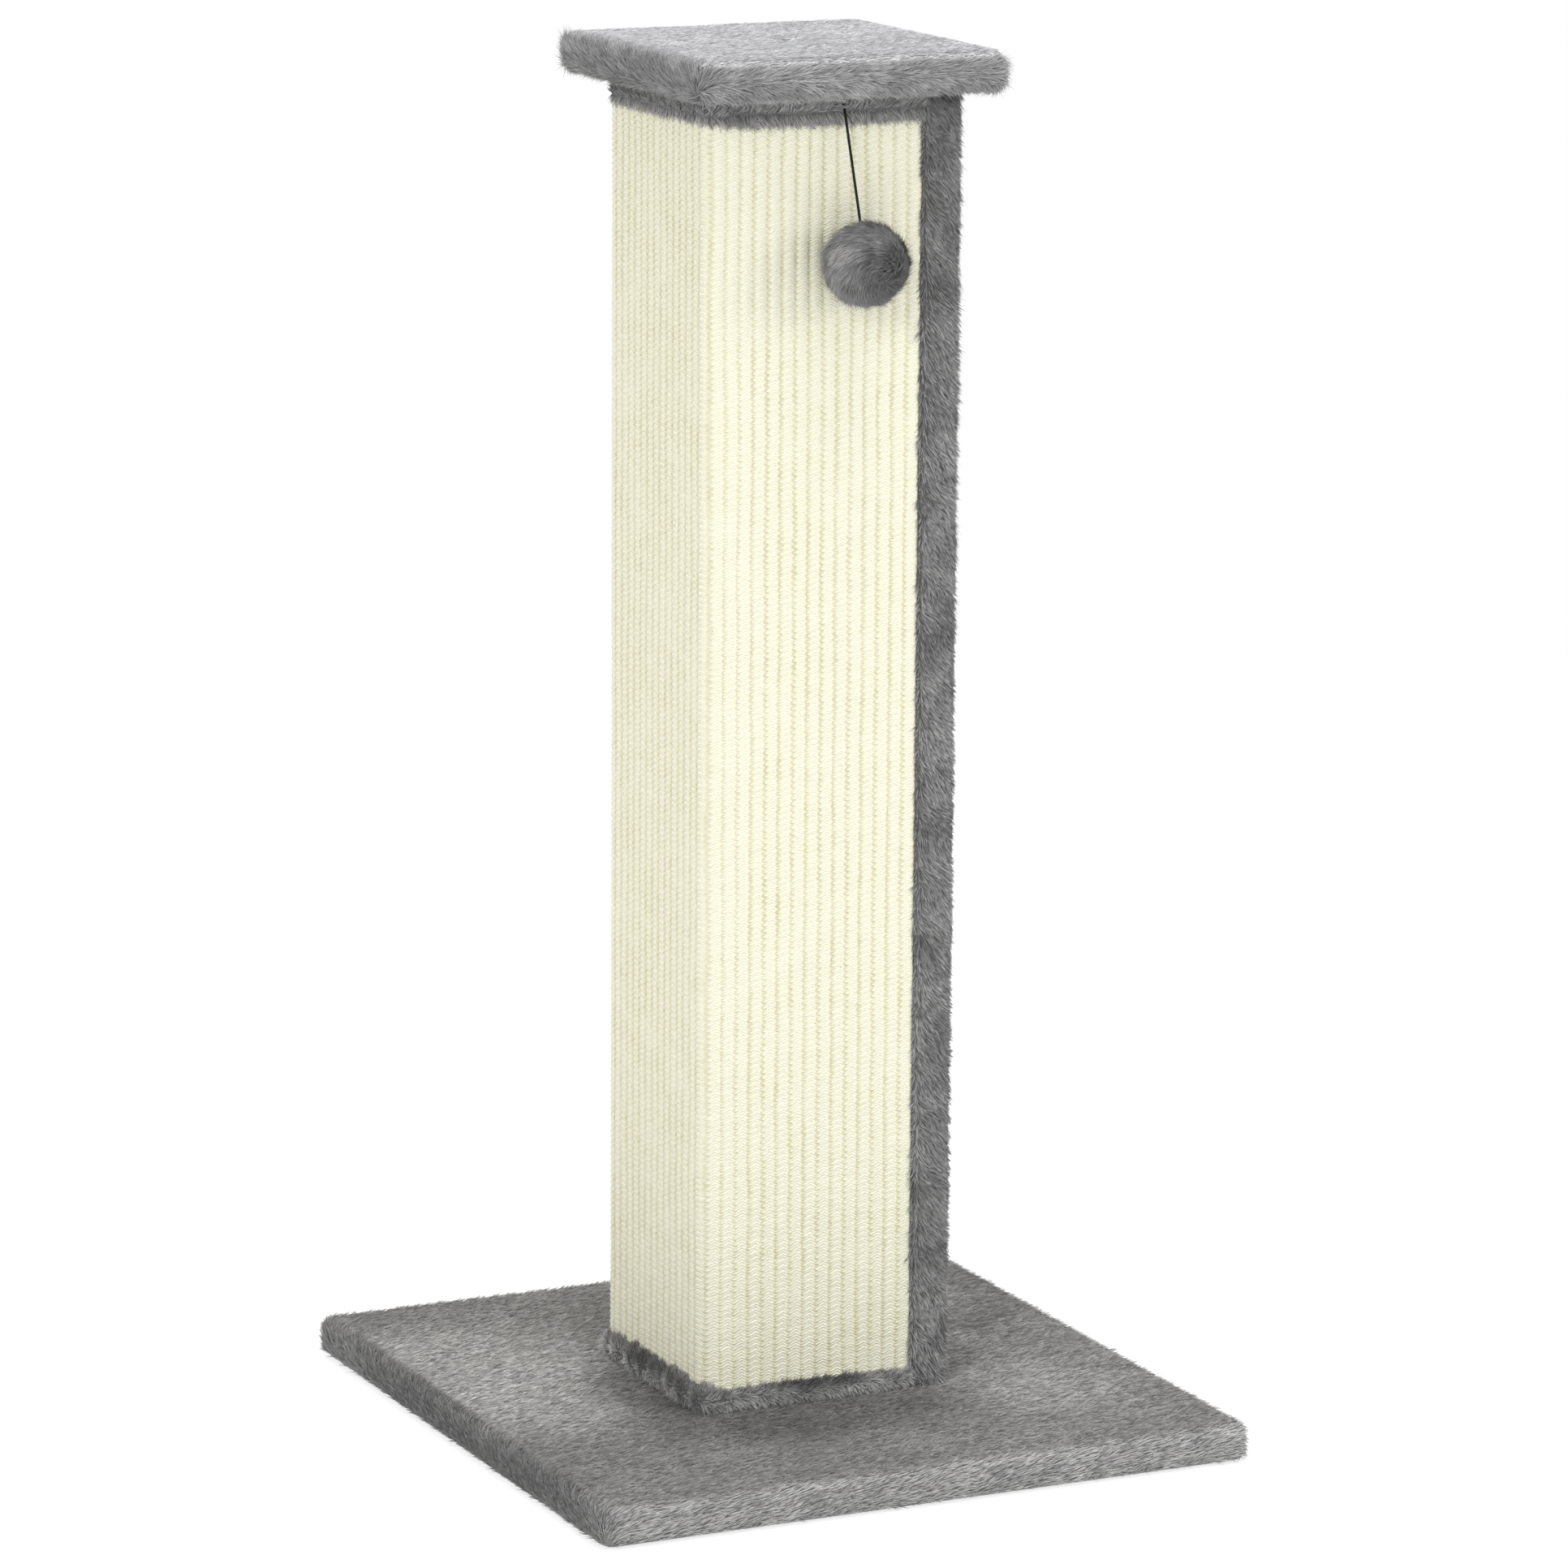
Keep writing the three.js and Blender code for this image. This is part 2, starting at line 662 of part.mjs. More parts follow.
function toyStaple() {
  const [near, far] = STAPLE_LEGS;
  const corners = [
    new THREE.Vector3(STAPLE_X, near, STAPLE_TOP),
    new THREE.Vector3(STAPLE_X, near, STAPLE_Z),
    new THREE.Vector3(STAPLE_X, far, STAPLE_Z),
    new THREE.Vector3(STAPLE_X, far, STAPLE_TOP),
  ];
  return tube(bentPath(corners, WIRE), WIRE, 2 * BEND_STEPS);
}

// The ball is turned about Z and then tilted so that its Z axis runs up the cord.
const UP_THE_CORD = new THREE.Quaternion().setFromUnitVectors(
  new THREE.Vector3(0, 0, 1),
  DOWN.clone().negate(),
);

function onCord(name, geometry, look) {
  const mesh = node(name, geometry, look);
  mesh.quaternion.copy(UP_THE_CORD);
  mesh.position.copy(BALL_CENTRE);
  return mesh;
}

function ballCover() {
  const inner = BALL - BALL_CLOTH;
  const mouth = CORD / 2 + GAP;
  const levels = BALL_ROUND / 2;
  const arc = (radius, i) => {
    const start = Math.asin(mouth / radius);
    const angle = start + ((Math.PI - start) * i) / levels;
    return [radius * Math.sin(angle), radius * Math.cos(angle)];
  };
  const steps = Array.from({ length: levels }, (_, i) => i);
  const profile = [
    [0, -BALL],
    ...steps.map((i) => arc(BALL, i)).reverse(),
    ...steps.map((i) => arc(inner, i)),
    [0, -inner],
  ];
  return turned(profile, BALL_ROUND);
}

function ballCore() {
  const radius = BALL - BALL_CLOTH - GAP;
  const ball = new THREE.SphereGeometry(radius, ROUND, ROUND / 2).rotateX(Math.PI / 2);
  const pocket = cylinder(END_KNOT + GAP, KNOT_SEAT - END_KNOT - GAP, BALL);
  return cut(ball, [pocket]);
}

function cordEndKnot() {
  const stub = cylinder(CORD / 2, KNOT_SEAT, BALL, 0, 0, CORD_SIDES);
  return join([sphere(END_KNOT, new THREE.Vector3(0, 0, KNOT_SEAT)), stub]);
}

function makeToy() {
  const group = new THREE.Group();
  group.add(node("toy_staple", toyStaple(), MATERIALS.steel));
  group.add(node("cord_tail", cordTail(), MATERIALS.cord));
  const knot = node("cord_knot", sphere(PIVOT_KNOT, new THREE.Vector3()), MATERIALS.cord);
  knot.position.copy(PIVOT);
  group.add(knot);
  const freeCord = new THREE.LineCurve3(
    along(PIVOT_KNOT + GAP),
    along(TOY_DROP - BALL - GAP),
  );
  group.add(node("toy_cord", tube(freeCord, CORD, CORD_STEPS), MATERIALS.cord));
  group.add(onCord("cord_end_knot", cordEndKnot(), MATERIALS.cord));
  group.add(onCord("ball_core", ballCore(), MATERIALS.wadding));
  group.add(onCord("ball_plush_cover", ballCover(), MATERIALS.ballPlush));
  return group;
}

const scratchingPost = new THREE.Group();
scratchingPost.add(makeBase(), makePost(), makePlatform(), makeToy());

export default scratchingPost;
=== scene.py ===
# %% [markdown]
# # A plush and sisal cat scratching post
#
# The real object is a heavy board in grey plush, a tall box post wrapped in ribbed sisal
# with one plush side, a small plush platform bolted on top, and a plush ball on a black
# elastic cord. The wood, the bolts and every measured place come from the CAD frame. What
# is made here is everything soft: cloth with its pile, the woven ribs, the cord, the ball.
#
# The frame comes first.

# %% Open the frame
import json
import math

import bmesh
import bpy
import numpy as np
from mathutils import Matrix, Vector, noise

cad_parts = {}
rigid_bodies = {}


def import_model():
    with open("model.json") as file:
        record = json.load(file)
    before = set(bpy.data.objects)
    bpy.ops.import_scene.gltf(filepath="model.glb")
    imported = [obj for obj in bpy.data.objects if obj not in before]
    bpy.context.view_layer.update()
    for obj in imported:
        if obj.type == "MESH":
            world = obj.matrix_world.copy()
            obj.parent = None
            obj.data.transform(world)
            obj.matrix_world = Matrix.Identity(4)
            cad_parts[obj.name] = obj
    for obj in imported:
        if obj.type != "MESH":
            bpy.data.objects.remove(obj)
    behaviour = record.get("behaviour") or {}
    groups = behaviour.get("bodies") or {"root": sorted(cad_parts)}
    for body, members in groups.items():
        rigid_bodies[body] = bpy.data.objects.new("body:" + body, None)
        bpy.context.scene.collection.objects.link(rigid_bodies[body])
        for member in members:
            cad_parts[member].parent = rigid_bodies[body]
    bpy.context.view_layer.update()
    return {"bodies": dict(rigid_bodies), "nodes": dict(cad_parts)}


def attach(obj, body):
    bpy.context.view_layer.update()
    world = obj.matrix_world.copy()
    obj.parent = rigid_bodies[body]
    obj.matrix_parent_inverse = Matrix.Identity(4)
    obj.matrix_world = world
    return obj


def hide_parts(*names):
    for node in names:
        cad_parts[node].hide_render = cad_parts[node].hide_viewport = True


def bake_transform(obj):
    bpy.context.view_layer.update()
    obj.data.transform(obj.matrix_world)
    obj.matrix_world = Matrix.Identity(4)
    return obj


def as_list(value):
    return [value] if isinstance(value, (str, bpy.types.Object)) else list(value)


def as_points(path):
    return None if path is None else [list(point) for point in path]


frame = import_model()
MM = 0.001
print("frame:", len(frame["nodes"]), "nodes on", sorted(frame["bodies"]))

# %% [markdown]
# ## The camera
#
# The photograph looks down at the left front corner from a long way off, so the upright
# edges stay almost parallel. A camera was fitted to the outline of the base, the post and
# the platform. The fit gives its place, three angles and a long lens.

# %% Stand the camera where the photographer stood
CAMERA_PLACE = (-1.6890, -3.5526, 1.2014)
CAMERA_YAW, CAMERA_PITCH, CAMERA_ROLL = (math.radians(a) for a in (25.489, 11.956, 0.397))
camera_data = bpy.data.cameras.new("studio_camera")
camera_data.sensor_width = 36.0
camera_data.lens = 162.13
camera = bpy.data.objects.new("studio_camera", camera_data)
camera.matrix_world = (
    Matrix.Translation(CAMERA_PLACE)
    @ Matrix.Rotation(-CAMERA_YAW, 4, "Z")
    @ Matrix.Rotation(math.pi / 2 - CAMERA_PITCH, 4, "X")
    @ Matrix.Rotation(CAMERA_ROLL, 4, "Z")
)
bpy.context.scene.collection.objects.link(camera)
bpy.context.scene.camera = camera
print("camera is %.2f m from the post" % Vector(CAMERA_PLACE).length)

# %% [markdown]
# ## Helpers for meshes
#
# Every piece is made from points in the frame's own coordinates, so its object stays at the
# origin. Most are lofts: closed rings of points with faces between neighbouring rings.

# %% Turn points and faces into a piece
def linked(name, mesh):
    piece = bpy.data.objects.new(name, mesh)
    bpy.context.scene.collection.objects.link(piece)
    return piece


def new_piece(name, points, faces, smooth=True):
    mesh = bpy.data.meshes.new(name)
    mesh.from_pydata([tuple(p) for p in np.asarray(points, float) * MM], [], faces)
    mesh.validate()
    mesh.update()
    mesh.polygons.foreach_set("use_smooth", [smooth] * len(mesh.polygons))
    return linked(name, mesh)


def full_turn(count):
    return np.arange(count) / count * 2 * math.pi


def band_faces(a, b, count):
    """Faces between the ring that starts at point a and the ring that starts at b."""
    return [(a + k, b + k, b + (k + 1) % count, a + (k + 1) % count) for k in range(count)]


def ring_faces(count, rings):
    """Faces between rings of count points, with the first and the last ring filled."""
    faces = []
    for ring in range(rings - 1):
        faces += band_faces(ring * count, (ring + 1) * count, count)
    faces.append(tuple(range(count)))
    faces.append(tuple((rings - 1) * count + k for k in reversed(range(count))))
    return faces


def tube_points(path, radius_at, sides):
    """Rings round a path, each square to it, without twist."""
    path = np.asarray(path, float)
    heading = np.gradient(path, axis=0)
    heading /= np.linalg.norm(heading, axis=1)[:, None]
    side = np.cross(heading[0], (0.0, 0.0, 1.0))
    if np.linalg.norm(side) < 0.2:
        side = np.cross(heading[0], (0.0, 1.0, 0.0))
    turn = full_turn(sides)
    rings = []
    for i, (centre, ahead) in enumerate(zip(path, heading)):
        side = side - ahead * side.dot(ahead)
        side /= np.linalg.norm(side)
        up = np.cross(ahead, side)
        reach = np.array([radius_at(i, k) for k in range(sides)])[:, None]
        rings.append(centre + reach * (np.cos(turn)[:, None] * side + np.sin(turn)[:, None] * up))
    return np.concatenate(rings)


def face_out(piece):
    """Recalculates which way the faces of a closed piece point."""
    shape = bmesh.new()
    shape.from_mesh(piece.data)
    bmesh.ops.recalc_face_normals(shape, faces=shape.faces)
    shape.to_mesh(piece.data)
    shape.free()


def triangles_of(piece):
    piece.data.calc_loop_triangles()
    return len(piece.data.loop_triangles)


# %% [markdown]
# ## Helpers for node trees
#
# Geometry Nodes and materials are both trees of nodes. A node is added with its settings and
# its inputs in one go, and its outputs come back as signals that can be added, multiplied
# and so on. Each sign stands for a Math node, so the trees below read like formulas.

# %% Write node trees as formulas
class Signal:
    """An output of a node. Arithmetic on it adds Math or Vector Math nodes."""

    def __init__(self, socket):
        self.socket = socket
        self.tree = socket.id_data

    def math(self, operation, *values):
        return calculated(self.tree, operation, self, *values)

    def to(self, node, key):
        self.tree.links.new(self.socket, node.inputs[key])

    def ranged(self, low, high, to_low, to_high, **settings):
        """The signal's range from low to high, spread over to_low to to_high."""
        inputs = dict(enumerate((self, low, high, to_low, to_high)))
        return add(self.tree, "ShaderNodeMapRange", inputs, **settings)[0]

    def scaled(self, scale):
        inputs = {0: self, "Scale": scale}
        return add(self.tree, "ShaderNodeVectorMath", inputs, operation="SCALE")[0]

    def __add__(self, other):
        return self.math("ADD", other)

    def __sub__(self, other):
        return self.math("SUBTRACT", other)

    def __mul__(self, other):
        return self.math("MULTIPLY", other)

    def __truediv__(self, other):
        return self.math("DIVIDE", other)

    def __rsub__(self, other):
        return calculated(self.tree, "SUBTRACT", other, self)

    def __rtruediv__(self, other):
        return calculated(self.tree, "DIVIDE", other, self)

    def __abs__(self):
        return self.math("ABSOLUTE")


class Outputs:
    """The outputs of a node as signals, by name or by number."""

    def __init__(self, node):
        self.sockets = node.outputs

    def __getitem__(self, key):
        return Signal(self.sockets[key])


def add(tree, kind, inputs=None, **settings):
    made = tree.nodes.new(kind)
    for key, value in settings.items():
        setattr(made, key, value)
    for key, value in (inputs or {}).items():
        if isinstance(value, Signal):
            value.to(made, key)
        else:
            made.inputs[key].default_value = value
    return Outputs(made)


def calculated(tree, operation, *values):
    types = {value.socket.type for value in values if isinstance(value, Signal)}
    kind = "ShaderNodeVectorMath" if types & {"VECTOR", "RGBA"} else "ShaderNodeMath"
    made = add(tree, kind, dict(enumerate(values)), operation=operation)
    return made["Value" if operation in ("DOT_PRODUCT", "LENGTH") else 0]


def noise_on(place, scale, detail):
    inputs = {"Vector": place, "Scale": scale, "Detail": detail}
    return add(place.tree, "ShaderNodeTexNoise", inputs)


def drawn_out(place, scale):
    return add(place.tree, "ShaderNodeMapping", {"Vector": place, "Scale": scale})[0]


def blended(share, low, high):
    """Colour between low and high by share."""
    return add(share.tree, "ShaderNodeMix", {0: share, 6: low, 7: high}, data_type="RGBA")[2]


def new_material(name, **constants):
    """A material, its Principled shader and the place on the piece. Even values are set on
    the shader's own sockets."""
    material = bpy.data.materials.new(name)
    material.use_nodes = True
    shader = material.node_tree.nodes["Principled BSDF"]
    for key, value in constants.items():
        shader.inputs[key.replace("_", " ")].default_value = value
    return material, shader, add(material.node_tree, "ShaderNodeTexCoord")["Object"]


def bumped(shader, height, strength, distance):
    inputs = {"Height": height, "Strength": strength, "Distance": distance}
    add(height.tree, "ShaderNodeBump", inputs)["Normal"].to(shader, "Normal")


# %% [markdown]
# ## The cord
#
# The toy hangs on a black elastic cord, 1.5 mm thick, of the kind that has a braided sleeve
# over rubber. It is stapled under the platform, knotted where it turns down, and it runs
# straight to the ball because the ball's weight holds it tight. A tube whose facets
# alternate in and out gives the braid's diamonds as real geometry.

# %% Places on the cord
PIVOT = np.array([5.2, -69.25, 763.2019])
DOWN = np.array([0.053993, -0.224972, -0.972868])
CORD_RADIUS = 0.75
FREE_FROM, FREE_TO, BALL_REACH = 2.2, 65.4, 88.9
BALL_CENTRE = PIVOT + BALL_REACH * DOWN
BRAID_SIDES, BRAID_STEP, BRAID_DEPTH = 16, 0.5, 0.05


def braid(name, path):
    def reach(i, k):
        return CORD_RADIUS * (1 + (BRAID_DEPTH if (i + k) % 2 else -BRAID_DEPTH))

    points = tube_points(path, reach, BRAID_SIDES)
    piece = new_piece(name, points, ring_faces(BRAID_SIDES, len(path)), smooth=False)
    face_out(piece)
    return piece


free_steps = int((FREE_TO - FREE_FROM) / BRAID_STEP) + 1
free_path = [PIVOT + DOWN * d for d in np.linspace(FREE_FROM, FREE_TO, free_steps)]
hanging_cord = braid("hanging_cord_braid", free_path)
print("free cord: %.1f mm long" % (FREE_TO - FREE_FROM))

# %% Tail of the cord under the platform
TAIL_TURN = PIVOT - DOWN * 5.6
TAIL_CORNER_REACH = 3.0
TAIL_STRAIGHT = 10.5


def steps_between(a, b):
    return max(2, round(float(np.linalg.norm(b - a)) / BRAID_STEP))


def rounded_corner(start, corner, end, reach):
    """Points from start to end with a smooth bend at the corner."""
    into = corner + (start - corner) / np.linalg.norm(start - corner) * reach
    out = corner + (end - corner) / np.linalg.norm(end - corner) * reach
    first = [start + (into - start) * t for t in np.linspace(0, 1, steps_between(start, into))]
    bend = [
        into * (1 - t) ** 2 + corner * 2 * t * (1 - t) + out * t**2
        for t in np.linspace(0, 1, steps_between(into, out) + 2)
    ]
    last = [out + (end - out) * t for t in np.linspace(0, 1, steps_between(out, end))]
    return first + bend[1:] + last[1:]


tail_start = TAIL_TURN + (-TAIL_STRAIGHT - TAIL_CORNER_REACH, 0, 0)
tail_path = rounded_corner(tail_start, TAIL_TURN, PIVOT - DOWN * FREE_FROM, TAIL_CORNER_REACH)
cord_tail = braid("cord_tail_braid", tail_path)

# %% [markdown]
# Each end of a stretch of cord is stopped by an overhand knot. A trefoil, which is an
# overhand knot with its ends joined, has the same three crossing loops, so a thin tube
# along a small trefoil reads as a tight knot.

# %% Tie the knots
KNOT_STEPS, KNOT_SIDES = 60, 8


def knot(name, centre, size, thickness, axis=DOWN):
    t = full_turn(KNOT_STEPS)
    loops = np.stack(
        [np.sin(t) + 2 * np.sin(2 * t), np.cos(t) - 2 * np.cos(2 * t), -np.sin(3 * t)], axis=1
    )
    loops *= (size - thickness) / 3.0
    turn = np.array(Vector((0, 0, 1)).rotation_difference(Vector(axis)).to_matrix())
    path = centre + loops @ turn.T
    around = np.roll(path, -1, axis=0) - np.roll(path, 1, axis=0)
    around /= np.linalg.norm(around, axis=1)[:, None]
    rings, faces = [], []
    for step, (place, ahead) in enumerate(zip(path, around)):
        side = np.cross(ahead, place - centre)
        side /= np.linalg.norm(side)
        up = np.cross(side, ahead)
        for angle in full_turn(KNOT_SIDES):
            rings.append(place + thickness * (math.cos(angle) * side + math.sin(angle) * up))
        following = (step + 1) % KNOT_STEPS
        faces += band_faces(step * KNOT_SIDES, following * KNOT_SIDES, KNOT_SIDES)
    piece = new_piece(name, np.array(rings), faces)
    face_out(piece)
    return piece


STUB_FROM, END_KNOT_PLACE = 23.8, 15.0
pivot_knot = knot("pivot_knot", PIVOT, size=1.15, thickness=0.5)
tail_knot = knot("tail_knot", tail_start - (0, 0, 1.1), size=1.9, thickness=0.72, axis=(1, 0, 0))
end_knot = knot("end_knot", BALL_CENTRE - DOWN * END_KNOT_PLACE, size=2.4, thickness=0.9)
stub_path = [BALL_CENTRE - DOWN * d for d in np.arange(STUB_FROM, END_KNOT_PLACE, -BRAID_STEP)]
end_stub = braid("cord_end_stub", stub_path)

# %% Black braid for the cord
def black_braid():
    material, shader, place = new_material(
        "black_braid", Roughness=0.7, Sheen_Weight=0.05, Specular_IOR_Level=0.2
    )
    fine, wear = noise_on(place, 2600.0, 3.0)[0], noise_on(place, 130.0, 2.0)[0]
    colour = blended(fine * wear, (0.003, 0.003, 0.004, 1), (0.022, 0.021, 0.023, 1))
    colour.to(shader, "Base Color")
    bumped(shader, fine, 0.6, 0.0001)
    return material


cord_black = black_braid()
for piece in (hanging_cord, cord_tail, pivot_knot, tail_knot, end_knot, end_stub):
    piece.data.materials.append(cord_black)
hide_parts("toy_cord")
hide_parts("cord_tail")
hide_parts("cord_knot")
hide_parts("cord_end_knot")
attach(pivot_knot, "swing_knot")
for piece in (cord_tail, tail_knot):
    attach(piece, "stand")
for piece in (end_knot, end_stub):
    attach(piece, "ball")
tuple(free_path[0] * MM)
tuple(free_path[-1] * MM)
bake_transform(hanging_cord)

# %% [markdown]
# ## Pile
#
# Plush is a knitted backing with a dense pile of fine fibres. At this size a fibre is far
# thinner than a pixel, so what the eye sees are locks: tens of fibres that lie together,
# 4 to 8 mm long, combed one way, with small swirls. Hair strands would be lost in an
# export, so each lock is a thin spike with four faces, and Geometry Nodes plants them:
# points scattered over the cloth, a direction for each from the cloth's own nap, and one
# spike on each point. The cloth carries the nap and a patch number as attributes.
#
# The table says how each cloth's pile differs: how dense and long it is, how far it leans
# over from upright, in radians, and how much it swirls, tousles and gathers in tufts.

# %% Say how each pile grows
PILE_COLUMNS = (
    ("Locks per square metre", 1e6), ("Length", MM), ("Width", MM), ("Lean", 1),
    ("Lean spread", 1), ("Swirl", 1), ("Swirl size", MM), ("Tousle", 1), ("Tuft size", MM),
    ("Tuft lift", 1), ("Tuft tone", 1), ("Patch tone", 1), ("Patch size", MM), ("Loose share", 1),
)
PILES = {
    # One value for each column above: locks in millions, sizes in millimetres.
    "base_top": (0.85, 4.8, 0.95, 1.30, 0.09, 0.3, 20, 0.18, 3.6, 0.20, 0.42, 0.12, 10, 0.02),
    "base_sides": (0.88, 6.0, 0.85, 1.15, 0.16, 0.3, 12, 0.20, 2.8, 0.25, 0.35, 0.15, 12, 0.06),
    "platform_top": (1.05, 4.2, 0.9, 1.40, 0.06, 0.2, 18, 0.15, 1.8, 0.10, 0.45, 0.10, 12, 0.0),
    "platform_sides": (2.2, 7.2, 0.7, 1.12, 0.18, 0.3, 14, 0.22, 3.0, 0.16, 0.2, 0.2, 12, 0.08),
    "platform_fringe": (2.4, 6.2, 0.7, 1.10, 0.22, 0.4, 12, 0.30, 3.5, 0.2, 0.2, 0.2, 12, 0.08),
    "platform_under": (0.65, 5.0, 0.9, 1.25, 0.15, 0.4, 12, 0.30, 3.0, 0.25, 0.2, 0.2, 12, 0.08),
    "spine": (0.74, 6.2, 0.95, 1.14, 0.18, 0.5, 16, 0.18, 2.8, 0.24, 0.15, 0.22, 18, 0.07),
    "strip": (2.0, 5.2, 0.75, 1.12, 0.18, 0.5, 16, 0.20, 2.8, 0.24, 0.15, 0.22, 18, 0.07),
    "strip_edge": (1.9, 5.2, 0.75, 0.92, 0.18, 0.5, 16, 0.45, 2.8, 0.24, 0.15, 0.22, 18, 0.07),
    "top_band": (2.2, 5.8, 0.85, 1.16, 0.22, 0.5, 9, 0.30, 3.5, 0.30, 0.28, 0.08, 12, 0.06),
    "bottom_band": (2.2, 5.0, 0.85, 0.95, 0.22, 0.5, 9, 0.30, 3.5, 0.30, 0.28, 0.08, 12, 0.06),
    "ball": (3.6, 8.2, 0.7, 1.27, 0.10, 0.25, 18, 0.12, 6.0, 0.12, 0.25, 0.25, 12, 0.06),
}
SHORTEST_LOCK = 0.6


def pile_values(kind):
    return {name: value * unit for (name, unit), value in zip(PILE_COLUMNS, PILES[kind])}


# %% Build the tree that plants pile
def plush_pile_tree():
    tree = bpy.data.node_groups.new("plush_pile", "GeometryNodeTree")

    def socket(name, kind, start=None, in_out="INPUT"):
        made = tree.interface.new_socket(name, in_out=in_out, socket_type="NodeSocket" + kind)
        if start is not None:
            made.default_value = start

    socket("Cloth", "Geometry")
    for name, start in pile_values("base_top").items():
        socket(name, "Float", start)
    socket("Shortest", "Float", SHORTEST_LOCK)
    socket("Patch", "Int", 1)
    socket("Seed", "Int", 1)
    socket("Clear middle", "Vector")
    socket("Clear half width", "Vector")
    socket("Streak", "Vector", (1.0, 1.0, 1.0))
    socket("Finish", "Material")
    socket("Pile", "Geometry", in_out="OUTPUT")
    given = Outputs(tree.nodes.new("NodeGroupInput"))

    def geometry(kind, inputs=None, **settings):
        return add(tree, "GeometryNode" + kind, inputs, **settings)

    def attribute(name, data_type):
        return geometry("InputNamedAttribute", {"Name": name}, data_type=data_type)["Attribute"]

    def chance(low, high, seed):
        return add(tree, "FunctionNodeRandomValue", {2: low, 3: high, "Seed": seed})[1]

    # Points on the faces of one patch.
    here = add(
        tree,
        "FunctionNodeCompare",
        {2: attribute("patch", "INT"), 3: given["Patch"]},
        data_type="INT",
        operation="EQUAL",
    )
    scatter = geometry(
        "DistributePointsOnFaces",
        {
            "Mesh": given["Cloth"],
            "Selection": here[0],
            "Density": given["Locks per square metre"],
            "Seed": given["Seed"],
        },
    )
    out = scatter["Normal"]
    place = geometry("InputPosition")[0]

    # No pile where the post stands on the cloth.
    apart = abs(place - given["Clear middle"]) - given["Clear half width"]
    aside, ahead, _ = add(tree, "ShaderNodeSeparateXYZ", {0: apart})
    furthest = aside.math("MAXIMUM", ahead)
    covered = add(tree, "FunctionNodeCompare", {0: furthest, 1: 0.0}, operation="LESS_THAN")[0]
    open_cloth = geometry(
        "DeleteGeometry", {"Geometry": scatter["Points"], "Selection": covered}, domain="POINT"
    )

    # Locks that grow close together make a tuft: they rise, reach and shade alike.
    drawn = place * given["Streak"]
    tuft = noise_on(drawn, 1.0 / given["Tuft size"], 1.0)
    rise, reach, tone = add(tree, "ShaderNodeSeparateXYZ", {0: tuft["Color"]})
    loose = chance(0.0, 1.0, 13).math("LESS_THAN", given["Loose share"])

    # Which way each lock lies: the nap, turned by large swirls and a little tousle.
    swirls = noise_on(place, 1.0 / given["Swirl size"], 1.0)["Color"] - (0.5, 0.5, 0.5)
    lay = attribute("nap", "FLOAT_VECTOR") + swirls.scaled(given["Swirl"] * 4.0)
    tousle = {0: (-1.0,) * 3, 1: (1.0,) * 3, "Seed": 3}
    tousle = add(tree, "FunctionNodeRandomValue", tousle, data_type="FLOAT_VECTOR")[0]
    lay = lay + tousle.scaled(given["Tousle"])
    flat = (lay - out.scaled(lay.math("DOT_PRODUCT", out))).math("NORMALIZE")
    tuft_rise = rise.ranged(0.3, 0.7, -1.0, 1.0) * given["Tuft lift"]
    lean = given["Lean"] + chance(-1.0, 1.0, 5) * given["Lean spread"] - tuft_rise - loose * 0.35
    lean = lean.math("MINIMUM", 1.5)
    ahead = out.scaled(lean.math("COSINE")) + flat.scaled(lean.math("SINE"))
    turn = add(
        tree,
        "FunctionNodeAxesToRotation",
        {"Primary Axis": ahead, "Secondary Axis": out.math("CROSS_PRODUCT", ahead)},
        primary_axis="Z",
        secondary_axis="X",
    )[0]

    # One lock: a spike with three sides, its height kept as an attribute for the colour.
    cone = {"Vertices": 3, "Radius Top": 0.0, "Radius Bottom": 1.0, "Depth": 1.0}
    lock = geometry("MeshCone", cone, fill_type="NGON")["Mesh"]
    height = add(tree, "ShaderNodeSeparateXYZ", {0: geometry("InputPosition")[0]})[2]

    def stored(on, name, value):
        inputs = {"Geometry": on, "Name": name, "Value": value}
        return geometry("StoreNamedAttribute", inputs, data_type="FLOAT", domain="POINT")[0]

    thickness = given["Width"] * loose.ranged(0.0, 1.0, 0.5, 0.28)
    length = given["Length"] * chance(0.0, 1.0, 7).ranged(0.0, 1.0, given["Shortest"], 1.1)
    length = length * reach.ranged(0.3, 0.7, 0.75, 1.25) * loose.ranged(0.0, 1.0, 1.0, 1.2)
    size = add(
        tree,
        "ShaderNodeCombineXYZ",
        {
            0: thickness * chance(0.7, 1.3, 9),
            1: thickness * 0.6,
            2: length * attribute("pile_length", "FLOAT"),
        },
    )[0]

    # Shade of each lock: its tuft's, a wider patch's, and its own.
    wide = noise_on(drawn, 1.0 / given["Patch size"], 2.0)[0]
    own_part = 1.0 - (given["Tuft tone"] + given["Patch tone"])
    shade = tone.ranged(0.32, 0.68, 0.0, 1.0) * given["Tuft tone"]
    shade = shade + wide.ranged(0.36, 0.64, 0.0, 1.0) * given["Patch tone"]
    shade = shade + chance(0.0, 1.0, 11) * own_part
    planted = geometry(
        "InstanceOnPoints",
        {
            "Points": stored(open_cloth[0], "pile_shade", shade),
            "Instance": stored(lock, "pile_tip", height),
            "Rotation": turn,
            "Scale": size,
        },
    )
    real = geometry("RealizeInstances", {"Geometry": planted[0]})

